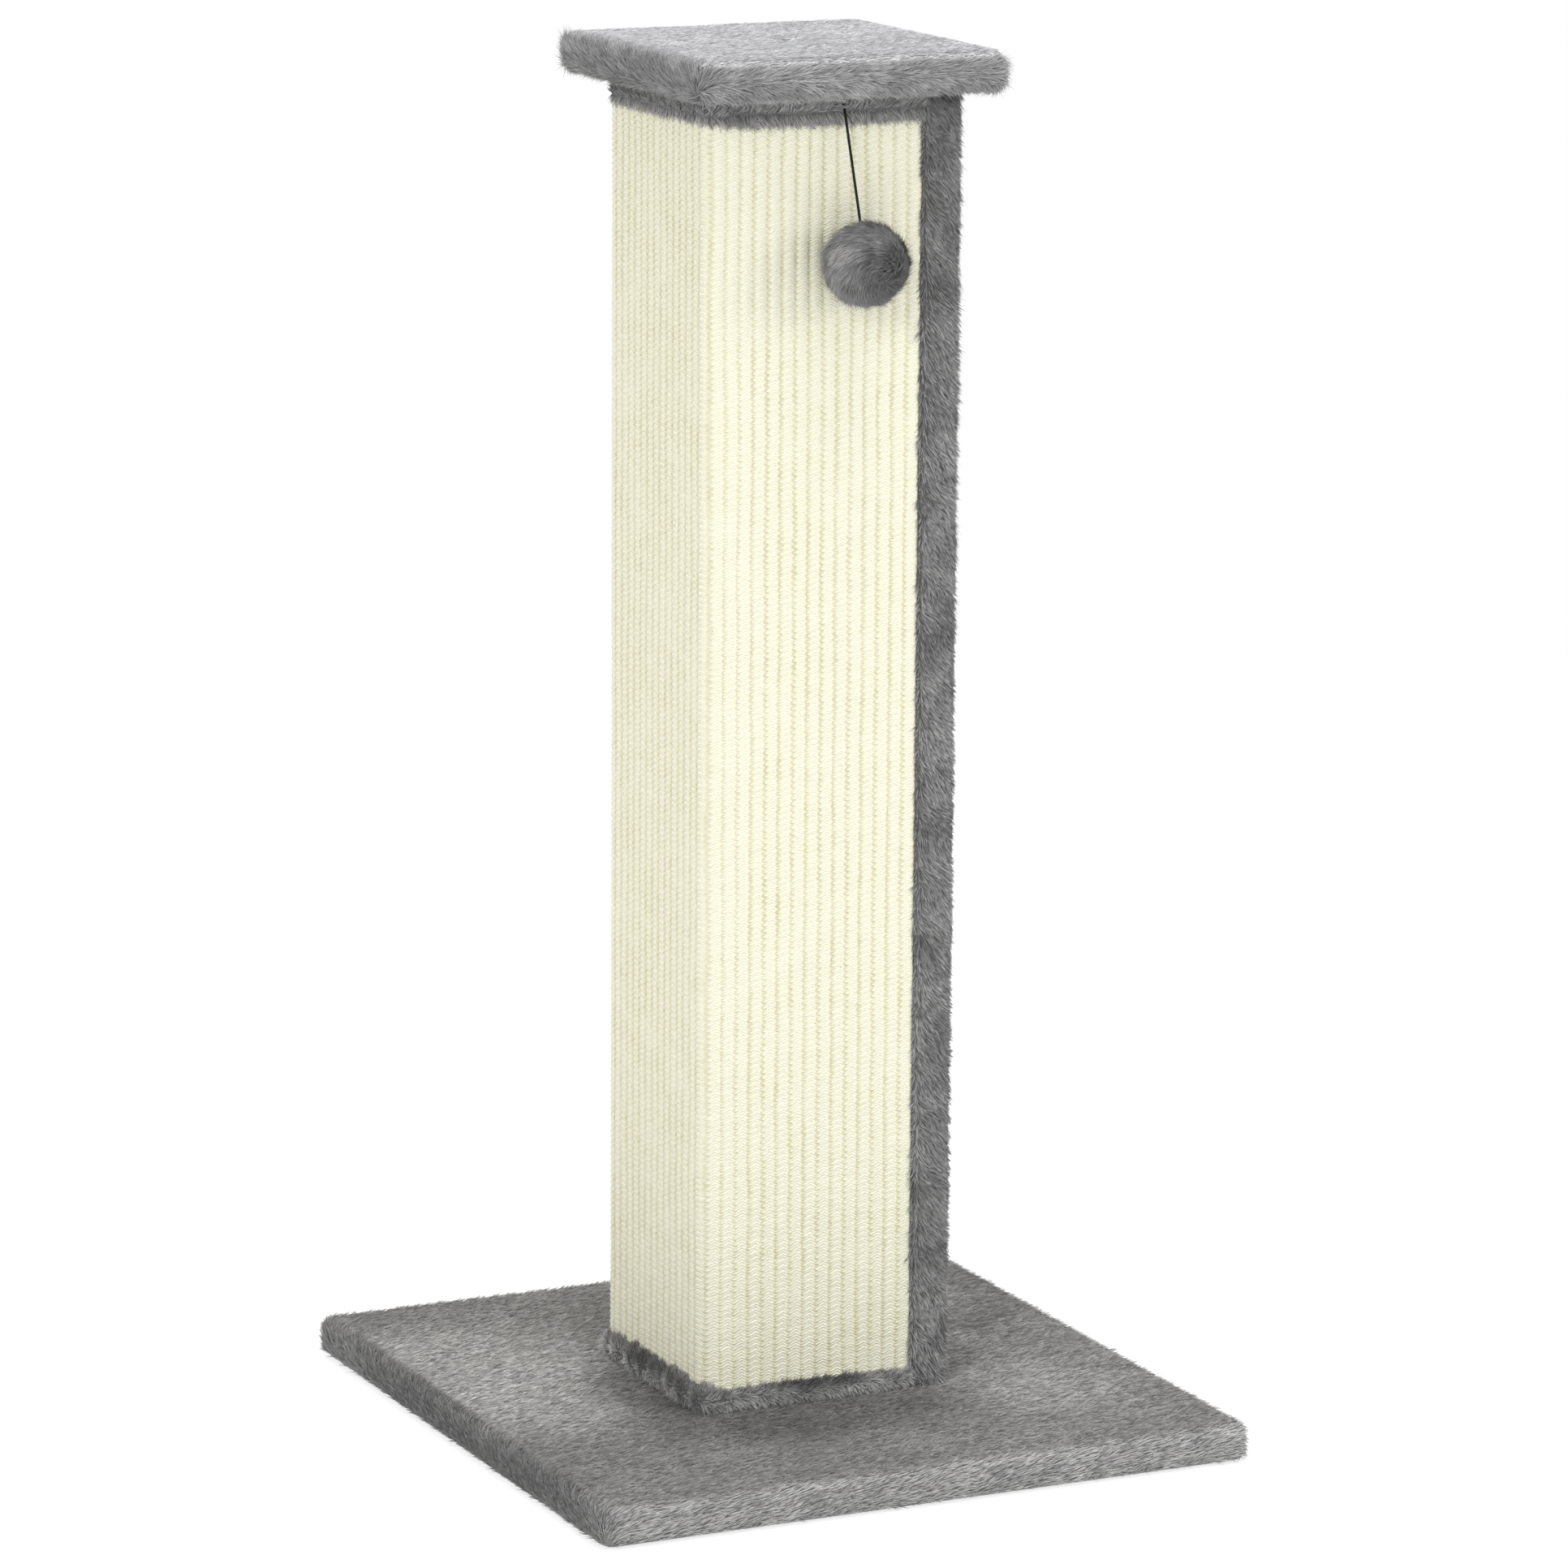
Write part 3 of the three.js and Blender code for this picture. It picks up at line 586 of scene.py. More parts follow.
    # Tips that reach the floor bend along it.
    above_floor = place.math("MAXIMUM", (-9.0, -9.0, 0.0002))
    settled = geometry("SetPosition", {"Geometry": real[0], "Position": above_floor})
    finished = geometry("SetMaterial", {"Geometry": settled[0], "Material": given["Finish"]})
    finished[0].to(tree.nodes.new("NodeGroupOutput"), 0)
    return tree


pile_tree = plush_pile_tree()
print("pile tree:", len(pile_tree.nodes), "nodes")

# %% Plant one patch of pile
PILE_SHARE = 1.0
pile_counts = []


def plant(name, cloth, kind, plush, patch, seed, **more):
    """Runs the tree on the cloth and keeps its result as a plain mesh of its own."""
    values = {**pile_values(kind), "Finish": plush_piles[plush], "Patch": patch, "Seed": seed}
    values["Locks per square metre"] *= PILE_SHARE
    for key, value in more.items():
        values[key.capitalize().replace("_", " ")] = value
    modifier = cloth.modifiers.new(name, "NODES")
    modifier.node_group = pile_tree
    for item in pile_tree.interface.items_tree:
        if item.in_out == "INPUT" and item.name in values:
            modifier[item.identifier] = values[item.name]
    cloth.update_tag()
    graph = bpy.context.evaluated_depsgraph_get()
    mesh = bpy.data.meshes.new_from_object(cloth.evaluated_get(graph), depsgraph=graph)
    cloth.modifiers.remove(modifier)
    mesh.name = name
    piece = linked(name, mesh)
    count = triangles_of(piece)
    pile_counts.append(count)
    print(f"{name}: {count} triangles")
    return piece


def describe_cloth(cloth, rule):
    """Writes each face's patch, nap and pile length. The rule gets the face's middle in
    millimetres and its normal."""
    mesh = cloth.data
    found = [rule(face.center / MM, face.normal) for face in mesh.polygons]
    for name, kind, field, values in (
        ("patch", "INT", "value", [number for number, _, _ in found]),
        ("nap", "FLOAT_VECTOR", "vector", [v for _, nap, _ in found for v in nap]),
        ("pile_length", "FLOAT", "value", [reach for _, _, reach in found]),
    ):
        mesh.attributes.new(name, kind, "FACE").data.foreach_set(field, values)


# %% [markdown]
# The colour of a lock runs from a root painted dark, as the shade deep in the pile, to its
# tip, and the tip is light or dull by the lock's own shade. Zones make the pile lighter or
# darker, with soft wavy borders: painted shade where it lies in shadow and painted light
# where the lamps fall, with brushed nap on the base as well. The knitted backing between
# the roots is painted dark, as the shade among the roots.

# %% Mix the plush materials
def brushed_and_shaded(place, zones):
    """Painted light and shade on the pile, by place, and on the base some brushed nap. A zone is
    its middle, its reach and its lightness.
    """
    place = place + (noise_on(place, 22.0, 2.0)["Color"] - (0.5, 0.5, 0.5)).scaled(0.035)
    lightness = 1.0
    for middle, reach, share in zones:
        apart = ((place - middle) / reach).math("LENGTH")
        zone = apart.ranged(0.25, 1.0, share, 1.0, interpolation_type="SMOOTHSTEP")
        lightness = zone * lightness
    return lightness


def pile_material(name, root, dull, bright, zones):
    material, shader, place = new_material(
        name, Roughness=0.85, Sheen_Weight=0.3, Sheen_Roughness=0.4, Specular_IOR_Level=0.25
    )
    height, shade = (
        add(place.tree, "ShaderNodeAttribute", attribute_name=key)["Fac"]
        for key in ("pile_tip", "pile_shade")
    )
    light = shade.ranged(0.22, 0.80, 0.0, 1.0) * (noise_on(place, 14.0, 2.0)[0] + 0.5)
    tip = blended(light, (*dull, 1), (*bright, 1))
    # The root end is painted dark, as the shade deep in the pile.
    colour = blended(height.math("POWER", 0.7), (*root, 1), tip)
    if zones:
        colour = colour.scaled(brushed_and_shaded(place, zones))
    colour.to(shader, "Base Color")
    return material


def backing_material(name, deep, light):
    material, shader, place = new_material(
        name, Roughness=0.95, Sheen_Weight=0.2, Sheen_Roughness=0.5, Specular_IOR_Level=0.1
    )
    streaks = noise_on(drawn_out(place, (0.35, 1.0, 0.6)), 1500.0, 5.0)[0]
    share = streaks * noise_on(place, 260.0, 3.0)[0] * 2.2
    # The dark end of the backing is painted shade among the roots.
    blended(share, (*deep, 1), (*light, 1)).to(shader, "Base Color")
    bumped(shader, streaks, 0.9, 0.0006)
    return material


# On the base: painted shade before the post and a painted shadow left of its foot under
# the band, partly brushed nap, and painted light at the left back and on the right.
BASE_ZONES = (
    ((-0.010, -0.088, 0.0216), (0.150, 0.075, 0.05), 0.60),
    ((-0.085, -0.010, 0.0216), (0.030, 0.085, 0.05), 0.62),
    ((-0.150, 0.060, 0.0216), (0.130, 0.160, 0.05), 1.56),
    ((0.125, -0.100, 0.0216), (0.080, 0.080, 0.05), 1.32),
    ((0.145, 0.070, 0.0216), (0.090, 0.150, 0.05), 1.30),
)
# The base's left side is painted darker, as painted shade on the side turned from the light.
LEFT_SIDE_ZONE = (((-0.204, 0.0, 0.008), (0.024, 0.400, 0.060), 0.60),)
# The platform's lower edge is painted darker, as painted shade under the edge.
LOWER_RIM_ZONE = (((0.0, 0.0, 0.7690), (0.600, 0.600, 0.0100), 0.80),)
# The bottom band: painted shade along its upper edge under the sisal, and painted light on the
# puffs at its foot on the left.
BAND_ZONES = (
    ((-0.005, -0.068, 0.0370), (0.095, 0.024, 0.0125), 0.36),
    ((-0.078, 0.000, 0.0430), (0.020, 0.085, 0.0090), 0.62),
    ((-0.086, 0.000, 0.0290), (0.014, 0.090, 0.0130), 2.10),
)
# The ball: painted shade on its lower right and painted light on its upper left.
BALL_ZONES = (
    ((0.022, -0.106, 0.668), (0.026, 0.026, 0.026), 0.62),
    ((-0.012, -0.098, 0.684), (0.020, 0.026, 0.026), 1.45),
)
PLUSHES = {
    # grey level, tint, contrast between locks, share of the grey left at the root as painted
    # shade, zones of painted light and shade
    "base_plush": (0.42, (1.0, 0.985, 0.965), 1.0, 0.36, BASE_ZONES),
    # base_edge_plush is the base's plush painted lighter for its sides and top_plush is the
    # platform's plush painted lighter for its top: painted light on the faces where the lamps
    # fall.
    "base_edge_plush": (0.51, (1.0, 0.99, 0.985), 0.85, 0.3, LEFT_SIDE_ZONE),
    "top_plush": (0.60, (0.99, 0.99, 1.01), 0.85, 0.4, ()),
    "rim_plush": (0.45, (1.0, 0.995, 0.995), 0.7, 0.3, LOWER_RIM_ZONE),
    "spine_plush": (0.305, (1.0, 0.995, 0.99), 1.3, 0.3, ()),
    "trim_plush": (0.44, (1.0, 0.99, 0.985), 0.95, 0.3, BAND_ZONES),
    "ball_plush": (0.238, (1.0, 0.99, 0.99), 0.85, 0.3, BALL_ZONES),
}
DULLER, BRIGHTER, BACKING_LIGHT = 0.42, 0.72, 0.6


def plush_pile(name):
    level, tint, contrast, root, zones = PLUSHES[name]
    grey = np.array(tint) * level
    dull, bright = 1.0 - DULLER * contrast, 1.0 + BRIGHTER * contrast
    return pile_material(f"{name}_pile", grey * root, grey * dull, grey * bright, zones)


def plush_backing(name):
    level, tint, _, root, _ = PLUSHES[name]
    grey = np.array(tint) * level
    return backing_material(f"{name}_backing", grey * root, grey * BACKING_LIGHT)


plush_piles = {name: plush_pile(name) for name in PLUSHES}
print("plush:", ", ".join(plush_piles))

# %% [markdown]
# ## Cloth over the boards
#
# The base and the platform are boards in one piece of plush each: over the top, down the
# sides and folded under in a hem that meets in a mitre at every corner. One walk describes
# it, from the middle of the top out to the edge, round, down, round again, in along the
# hem, and then back the same way along the inside. Each step of the walk is a ring.

# %% Walk the rings of a covered board
CORNER_STEPS, SIDE_STEPS, EDGE_STEPS, TOP_RINGS = 8, 44, 6, 9
LEAST_CORNER, SIDE_SWELL = 0.4, 0.15


def board_ring(half_x, half_y, corner, z):
    corner = max(corner, LEAST_CORNER)
    places = ((1, 1), (-1, 1), (-1, -1), (1, -1))

    def on_corner(quarter, turn):
        side_x, side_y = places[quarter % 4]
        angle = turn * math.pi / 2
        x = side_x * (half_x - corner) + corner * math.cos(angle)
        return np.array([x, side_y * (half_y - corner) + corner * math.sin(angle)])

    ring = []
    for quarter in range(4):
        steps = range(CORNER_STEPS + 1)
        ring += [on_corner(quarter, quarter + step / CORNER_STEPS) for step in steps]
        start, end = ring[-1], on_corner(quarter + 1, quarter + 1)
        ring += [start + (end - start) * (step / SIDE_STEPS) for step in range(1, SIDE_STEPS)]
    return [(x, y, z) for x, y in ring]


def covered_board(name, half_x, half_y, low, high, cloth, hem, corner, edge, holes):
    """A board's cover. edge is the radius of its rounded edges, and holes are cutters."""
    innermost = min(half_x, half_y) - 2
    insets = [innermost * (1 - (k / TOP_RINGS)) ** 1.4 + edge for k in range(TOP_RINGS)]
    walk = [(min(inset, innermost), high) for inset in insets]
    turns = [step / EDGE_STEPS * math.pi / 2 for step in range(EDGE_STEPS + 1)]
    walk += [(edge * (1 - math.sin(a)), high - edge * (1 - math.cos(a))) for a in turns]
    walk += [(-SIDE_SWELL, (low + high) / 2 + rise) for rise in (2.0, 0.0, -2.0)]
    walk += [(edge * (1 - math.sin(a)), low + edge * (1 - math.cos(a))) for a in reversed(turns)]
    walk += [(edge + (hem - edge) * share, low) for share in (0.2, 0.5, 1.0)]
    walk += [(hem, low + cloth), (cloth + 1, low + cloth), (cloth, low + cloth + 1)]
    walk += [(cloth, high - cloth - 1), (cloth + 1, high - cloth)]
    walk += [(innermost * share, high - cloth) for share in (0.3, 0.7, 1.0)]
    points = []
    for inset, z in walk:
        points += board_ring(half_x - inset, half_y - inset, corner - inset, z)
    piece = new_piece(name, points, ring_faces(len(points) // len(walk), len(walk)))
    cut(piece, holes + mitres(half_x, half_y, hem, low, cloth))
    return piece


# %% Cut bolt holes and mitres with one Boolean
HOLE_SIDES, SLIT_WIDTH = 24, 0.8


def prism(ring, low, high):
    count = len(ring)
    points = [(*p, low) for p in ring] + [(*p, high) for p in ring]
    faces = [(k, (k + 1) % count, count + (k + 1) % count, count + k) for k in range(count)]
    return points, faces + [tuple(reversed(range(count))), tuple(range(count, 2 * count))]


def round_cutter(x, y, low, high, radius):
    turns = full_turn(HOLE_SIDES)
    return prism([(x + radius * math.cos(a), y + radius * math.sin(a)) for a in turns], low, high)


def slit_cutter(start, end, low, high):
    start, end = np.array(start, float), np.array(end, float)
    across = np.array([start[1] - end[1], end[0] - start[0]])
    across *= SLIT_WIDTH / 2 / np.linalg.norm(across)
    return prism([start - across, end - across, end + across, start + across], low, high)


def cut(piece, cutters):
    points, faces = [], []
    for more_points, more_faces in cutters:
        faces += [tuple(len(points) + k for k in f) for f in more_faces]
        points += more_points
    tool = new_piece("cutter", points, faces)
    modifier = piece.modifiers.new("cut", "BOOLEAN")
    modifier.operation, modifier.solver, modifier.object = "DIFFERENCE", "EXACT", tool
    graph = bpy.context.evaluated_depsgraph_get()
    mesh = bpy.data.meshes.new_from_object(piece.evaluated_get(graph), depsgraph=graph)
    piece.modifiers.clear()
    piece.data = mesh
    bpy.data.objects.remove(tool)


def mitres(half_x, half_y, hem, low, cloth):
    found = []
    for side_x in (1, -1):
        for side_y in (1, -1):
            outer = (side_x * (half_x - 6), side_y * (half_y - 6))
            inner = (side_x * (half_x - hem - 2), side_y * (half_y - hem - 2))
            found.append(slit_cutter(outer, inner, low - 2, low + cloth + 0.2))
    return found


# %% [markdown]
# The nap runs the way the cloth was laid: to the right over the top, up the left side,
# down the right side, and slanting up to the right on the front and the back, as the
# strokes in the photograph do.

# %% Cover the base
BASE_HALF_X, BASE_HALF_Y, BASE_LOW, BASE_HIGH = 199.2, 208.7, 0.6, 21.2
BASE_CLOTH, BASE_HEM, BASE_CORNER, BASE_EDGE = 2.2, 30.0, 8.0, 5.0
BASE_BORDER, BASE_SIDE_PATCH = 5.2, 5
POST_X = 2.5
POST_MIDDLE, POST_CLEAR = (POST_X * MM, 0.0, 0.0), (0.0770, 0.0640, 10.0)
BOLT_PLACES = [(POST_X + x, y) for x in (45.25, -45.25) for y in (32.25, -32.25)]
BOLT_HOLE = 3.3
SLANT = 0.45


def board_nap(normal):
    level = abs(normal.y)
    return (normal.z + level, -SLANT * max(normal.z, 0.0), -normal.x + SLANT * level)


base_cloth = covered_board(
    "base_plush_cloth", BASE_HALF_X, BASE_HALF_Y, BASE_LOW, BASE_HIGH,
    BASE_CLOTH, BASE_HEM, BASE_CORNER, BASE_EDGE,
    [round_cutter(x, y, BASE_HIGH - 4, BASE_HIGH + 2, BOLT_HOLE) for x, y in BOLT_PLACES],
)


def base_rule(middle, normal):
    skin = max(abs(middle.x) - BASE_HALF_X, abs(middle.y) - BASE_HALF_Y)
    border = skin > -BASE_BORDER
    nap = board_nap(normal)
    if middle.z > BASE_HIGH - 0.5 and normal.z > 0.9 and not border:
        return 1 + (middle.x > 0) + 2 * (middle.y > 0), nap, 1.0
    if border and middle.z > BASE_LOW + 0.3 and normal.z > -0.75:
        inside = skin < -BASE_CLOTH + 0.3 and abs(normal.z) < 0.6
        return (0 if inside else BASE_SIDE_PATCH), nap, 1.0
    return 0, nap, 1.0


describe_cloth(base_cloth, base_rule)
base_cloth.data.materials.append(plush_backing("base_plush"))
under_post = {"clear_middle": POST_MIDDLE, "clear_half_width": POST_CLEAR}
base_piles = [
    plant(
        f"base_pile_{patch}", base_cloth, "base_top", "base_plush", patch, seed=patch,
        streak=(0.8, 1.0, 1.0), **under_post,
    )
    for patch in (1, 2, 3, 4)
]
base_piles.append(
    plant("base_pile_sides", base_cloth, "base_sides", "base_edge_plush", BASE_SIDE_PATCH, seed=15)
)

# %% [markdown]
# The platform's pile is in four patches: the flat top, with the dimple of the bolt left
# bare so that the dark-painted backing shows there as the dimple's shade, the sides, the
# fringe round their lower edge, and the underside.

# %% Cover the platform
TOP_HALF, TOP_LOW, TOP_HIGH = 93.6, 769.9, 791.9
TOP_CLOTH, TOP_HEM, TOP_CORNER, TOP_EDGE = 2.6, 40.0, 8.0, 7.5
TOP_HOLE = 4.2
TOP_PATCH, RIM_PATCH, UNDER_PATCH, FRINGE_PATCH = 1, 2, 3, 4
DIMPLE_MIDDLE, DIMPLE_CLEAR = ((POST_X - 1.5) * MM, 0.0, 0.0), (0.0052, 0.0036, 10.0)
UNDER_CLEAR = (0.0800, 0.0660, 10.0)
BUSHY_FROM, BUSHY_WITHIN, BUSHY_MORE = 172.0, 8.0, 0.18
SUNK_FROM, SUNK_WITHIN = 5.0, 9.0
top_cloth = covered_board(
    "platform_plush_cloth", TOP_HALF, TOP_HALF, TOP_LOW, TOP_HIGH,
    TOP_CLOTH, TOP_HEM, TOP_CORNER, TOP_EDGE,
    [round_cutter(POST_X, 0, TOP_HIGH - 5, TOP_HIGH + 2, TOP_HOLE)],
)


def share_of(value):
    return min(1.0, max(0.0, value))


def top_rule(middle, normal):
    """The pile stands longer at the corners, and near the lower edge the nap turns."""
    skin = max(abs(middle.x), abs(middle.y)) - TOP_HALF
    nap = board_nap(normal)
    if middle.z > TOP_HIGH - 3.5 and normal.z > 0.55:
        return TOP_PATCH, nap, 1.0
    front_share = abs(normal.y) / max(0.05, math.hypot(normal.x, normal.y))
    side_up = math.copysign(1.0 - front_share, -normal.x)
    lower_nap = Vector((0.8 * front_share, 0.0, side_up - 0.5 * front_share))
    at_corner = share_of((abs(middle.x) + abs(middle.y) - BUSHY_FROM) / BUSHY_WITHIN)
    bushy = 1.0 + BUSHY_MORE * at_corner
    if skin > -5.0 and -0.97 < normal.z < -0.25:
        return FRINGE_PATCH, lower_nap, bushy
    if middle.z < TOP_LOW + 0.5 and normal.z < -0.75:
        return UNDER_PATCH, nap, 0.8
    inside = skin < -TOP_CLOTH + 0.3 and abs(normal.z) < 0.6 and middle.z < TOP_HIGH - 2
    if skin > -6.2 and not inside:
        sunk = share_of(1.0 - (middle.z - TOP_LOW - SUNK_FROM) / SUNK_WITHIN)
        return RIM_PATCH, Vector(nap) * (1.0 - sunk) + lower_nap * sunk, bushy
    return 0, nap, 1.0


describe_cloth(top_cloth, top_rule)
top_cloth.data.materials.append(plush_backing("rim_plush"))
top_piles = [
    plant(f"platform_pile_{part}", top_cloth, f"platform_{part}", finish, patch, seed, **more)
    for part, finish, patch, seed, more in (
        ("top", "top_plush", TOP_PATCH, 21,
         dict(streak=(0.4, 1.0, 1.0), clear_middle=DIMPLE_MIDDLE, clear_half_width=DIMPLE_CLEAR)),
        ("sides", "rim_plush", RIM_PATCH, 22, {}),
        ("fringe", "rim_plush", FRINGE_PATCH, 24, {}),
        ("under", "rim_plush", UNDER_PATCH, 23,
         dict(clear_middle=POST_MIDDLE, clear_half_width=UNDER_CLEAR)),
    )
]

# %% [markdown]
# ## Round the post
#
# The sisal, the plush side and the two narrow bands all lie on the post's outline. The
# outline is walked from the middle of the right face, and a place on it is a distance
# along it and a lift off the wood. Each sheet is then a grid of distances and heights.

# %% Walk the post's outline
POST_HALF_X, POST_HALF_Y, POST_RADIUS = 74.55, 61.55, 2.8
POST_LOW, POST_HIGH = 21.9, 769.4
SPINE_RETURN = 21.0
NEAR_CORNER_RUN = 6


class Outline:
    """The post's outline. Distances are measured at a given lift off the panels."""

    def __init__(self, offset):
        flat_x, flat_y = POST_HALF_X - POST_RADIUS, POST_HALF_Y - POST_RADIUS
        arc = (POST_RADIUS + offset) * math.pi / 2
        self.runs, start = [], 0.0
        for kind, length, place, angle in (
            ("line", flat_y, (POST_HALF_X, 0), 0),
            ("arc", arc, (flat_x, flat_y), 0),
            ("line", 2 * flat_x, (flat_x, POST_HALF_Y), 90),
            ("arc", arc, (-flat_x, flat_y), 90),
            ("line", 2 * flat_y, (-POST_HALF_X, flat_y), 180),
            ("arc", arc, (-flat_x, -flat_y), 180),
            ("line", 2 * flat_x, (-flat_x, -POST_HALF_Y), 270),
            ("arc", arc, (flat_x, -flat_y), 270),
            ("line", flat_y, (POST_HALF_X, -flat_y), 0),
        ):
            place = (place[0] + POST_X, place[1])
            self.runs.append((kind, start, length, place, math.radians(angle)))
            start += length
        self.length = start
        self.seam = flat_y + arc + SPINE_RETURN - POST_RADIUS

    def at(self, distance, lift):
        d = distance % self.length
        for kind, start, length, (x, y), angle in self.runs:
            if d <= start + length:
                break
        d -= start
        if kind == "line":
            out = (math.cos(angle), math.sin(angle))
            return x - out[1] * d + out[0] * lift, y + out[0] * d + out[1] * lift
        turn = angle + d / length * math.pi / 2
        reach = POST_RADIUS + lift
        return x + reach * math.cos(turn), y + reach * math.sin(turn)


# Where the two narrow bands meet the sisal: on the front the upper band hangs lower.
BAND_MEETS_TOP = (
    (-76.0, 755.5), (-62.0, 752.8), (-37.0, 751.0), (-12.0, 750.6), (12.0, 751.2), (60.0, 751.6)
)
LEFT_MEETS_TOP = 755.0
FRONT_MEETS_BOTTOM, LEFT_MEETS_BOTTOM, LEFT_DROP = 34.6, 38.8, 1.2
TURN_WITHIN, FRONT_SLOPE = 6.0, 0.025


def meets_top(x, y):
    front = float(np.interp(x, *zip(*BAND_MEETS_TOP)))
    return LEFT_MEETS_TOP + (front - LEFT_MEETS_TOP) * share_of((-y - 56.0) / 8.0)


def on_left(x):
    """1 on the left face and 0 on the front and the back, with a soft turn at the corner."""
    return share_of((POST_X - POST_HALF_X + TURN_WITHIN - x) / TURN_WITHIN)


def meets_bottom(x, y):
    left = LEFT_MEETS_BOTTOM - LEFT_DROP * share_of((y + 10.0) / 60.0)
    front = FRONT_MEETS_BOTTOM - FRONT_SLOPE * max(0.0, x)
    return front + (left - front) * on_left(x)


BACK_LIFT = 0.15


def sheet_on_post(name, outline, distances, levels, lift_at, z_at=None):
    """A closed sheet: its face is a grid, and its back lies flat on the panels. lift_at and
    z_at take the column and the level."""
    wide, tall = len(distances), len(levels)

    def height(i, j):
        return z_at(i, j) if z_at else levels[j]

    points = []
    for j in range(tall):
        for i, distance in enumerate(distances):
            shift, lift = lift_at(i, j)
            points.append((*outline.at(distance + shift, lift), height(i, j)))
    face = [
        (j * wide + i, j * wide + i + 1, (j + 1) * wide + i + 1, (j + 1) * wide + i)
        for j in range(tall - 1)
        for i in range(wide - 1)
    ]
    backs = len(points)
    for j in (0, tall - 1):
        for i, distance in enumerate(distances):
            points.append((*outline.at(distance, BACK_LIFT), height(i, j)))
    top, back_top = (tall - 1) * wide, backs + wide
    for i in range(wide - 1):
        face.append((backs + i + 1, backs + i, back_top + i, back_top + i + 1))
        face.append((backs + i, backs + i + 1, i + 1, i))
        face.append((top + i, top + i + 1, back_top + i + 1, back_top + i))
    left = [j * wide for j in range(tall)]
    right = [j * wide + wide - 1 for j in range(tall)]
    face.append((backs, *left, back_top))
    face.append((back_top + wide - 1, *reversed(right), backs + wide - 1))
    piece = new_piece(name, points, face)
    face_out(piece)
    return piece


# %% [markdown]
# The sisal is a ribbed weave: fat cords 8.6 mm apart, each bound down by stitches, so a
# rib is a string of small pads and the groove beside it runs in a zigzag. Pads and zigzag
# are in the mesh, two levels to a pad, and the twisted yarn on them is in the material.

# %% Weave the sisal
RIB_PITCH, PAD_PITCH = 8.6, 3.4
SISAL_GROUND, SISAL_CREST = 3.0, 4.2
RIB_SHAPE = ((0.0, 0.0), (0.15, 0.62), (0.36, 0.98), (0.64, 0.98), (0.85, 0.62))
PAD_RISE, ZIGZAG, RIB_ZIGZAG, WANDER, UNEVEN = 0.30, 0.42, 0.35, 0.45, 0.22
SWAY = 0.35
SEAM_GAP = 0.3
WEAVE_LOW, WEAVE_HIGH = 35.0, 753.1
TOP_STRETCH_FROM, FOOT_STRETCH_TO = 690.0, 80.0
TUCKED = 0.4

weave_outline = Outline(2.6)
weave_from = weave_outline.seam + SEAM_GAP
weave_to = weave_outline.length - weave_outline.seam - SEAM_GAP
rib_count = round((weave_to - weave_from) / RIB_PITCH)
rib_width = (weave_to - weave_from) / rib_count
weave_columns = [
    (rib, share, height) for rib in range(rib_count) for share, height in RIB_SHAPE
] + [(rib_count, 0.0, 0.0)]
weave_distances = [weave_from + (rib + share) * rib_width for rib, share, _ in weave_columns]
level_count = round((WEAVE_HIGH - WEAVE_LOW) / PAD_PITCH * 2) + 1
weave_levels = np.linspace(WEAVE_LOW, WEAVE_HIGH, level_count)
weave_places = [weave_outline.at(d, 0.0) for d in weave_distances]
weave_tops = [meets_top(*place) + TUCKED for place in weave_places]
weave_feet = [meets_bottom(*place) - TUCKED for place in weave_places]


def waver(x, y, z):
    return noise.noise(Vector((x, y, z)))


def weave_lift(i, j):
    rib, share, height = weave_columns[i]
    z = weave_levels[j]
    pad = 1 if (j + rib) % 2 else -1
    drift = WANDER * waver(rib * 7.3 + share, z / 30.0, 0.0)
    drift += 2 * WANDER * waver(rib / 4.0, z / 60.0, 8.0)
    drift += UNEVEN * waver(rib * 5.1 + share, z / 5.0, 2.0)
    shift = drift + (ZIGZAG * pad * (1.0 if share == 0.0 else RIB_ZIGZAG))
    if i in (0, len(weave_columns) - 1):
        shift = drift * 0.5
    lift = SISAL_GROUND + (SISAL_CREST - SISAL_GROUND) * height
    lift += PAD_RISE * pad * (0.3 + 0.7 * height) * (1.0 if share < 0.5 else -1.0)
    lift += UNEVEN * waver(rib * 3.1 + share, z / 5.0, 5.0)
    return shift, lift


def weave_z(i, j):
    z = weave_levels[j]
    above = max(0.0, z - TOP_STRETCH_FROM) / (WEAVE_HIGH - TOP_STRETCH_FROM)
    below = max(0.0, FOOT_STRETCH_TO - z) / (FOOT_STRETCH_TO - WEAVE_LOW)
    sway = SWAY * waver(i / 6.0, z / 25.0, 11.0)
    stretch = (weave_tops[i] - WEAVE_HIGH) * above**2 + (weave_feet[i] - WEAVE_LOW) * below**2
    return z + stretch + (sway if 0 < j < len(weave_levels) - 1 else 0)


sisal = sheet_on_post(
    "sisal_ribbed_cloth", weave_outline, weave_distances, weave_levels, weave_lift, weave_z
)
weave_map = sisal.data.uv_layers.new(name="weave")
wide = len(weave_columns)
corner_points = np.empty(len(sisal.data.loops), int)
sisal.data.loops.foreach_get("vertex_index", corner_points)
front = wide * len(weave_levels)
column = np.where(corner_points < front, corner_points % wide, (corner_points - front) % wide)
across = np.array([rib + share for rib, share, _ in weave_columns])[column]
heights = np.array([v.co.z for v in sisal.data.vertices])[corner_points] / MM / PAD_PITCH
weave_map.data.foreach_set("uv", np.stack([across, heights], axis=1).ravel())
NEAR_RIB = (weave_outline.runs[NEAR_CORNER_RUN][1] - weave_from) / rib_width
FLAT_RIBS = NEAR_RIB + 0.8
print(f"sisal: {rib_count} ribs, {triangles_of(sisal)} triangles, near rib {NEAR_RIB:.1f}")

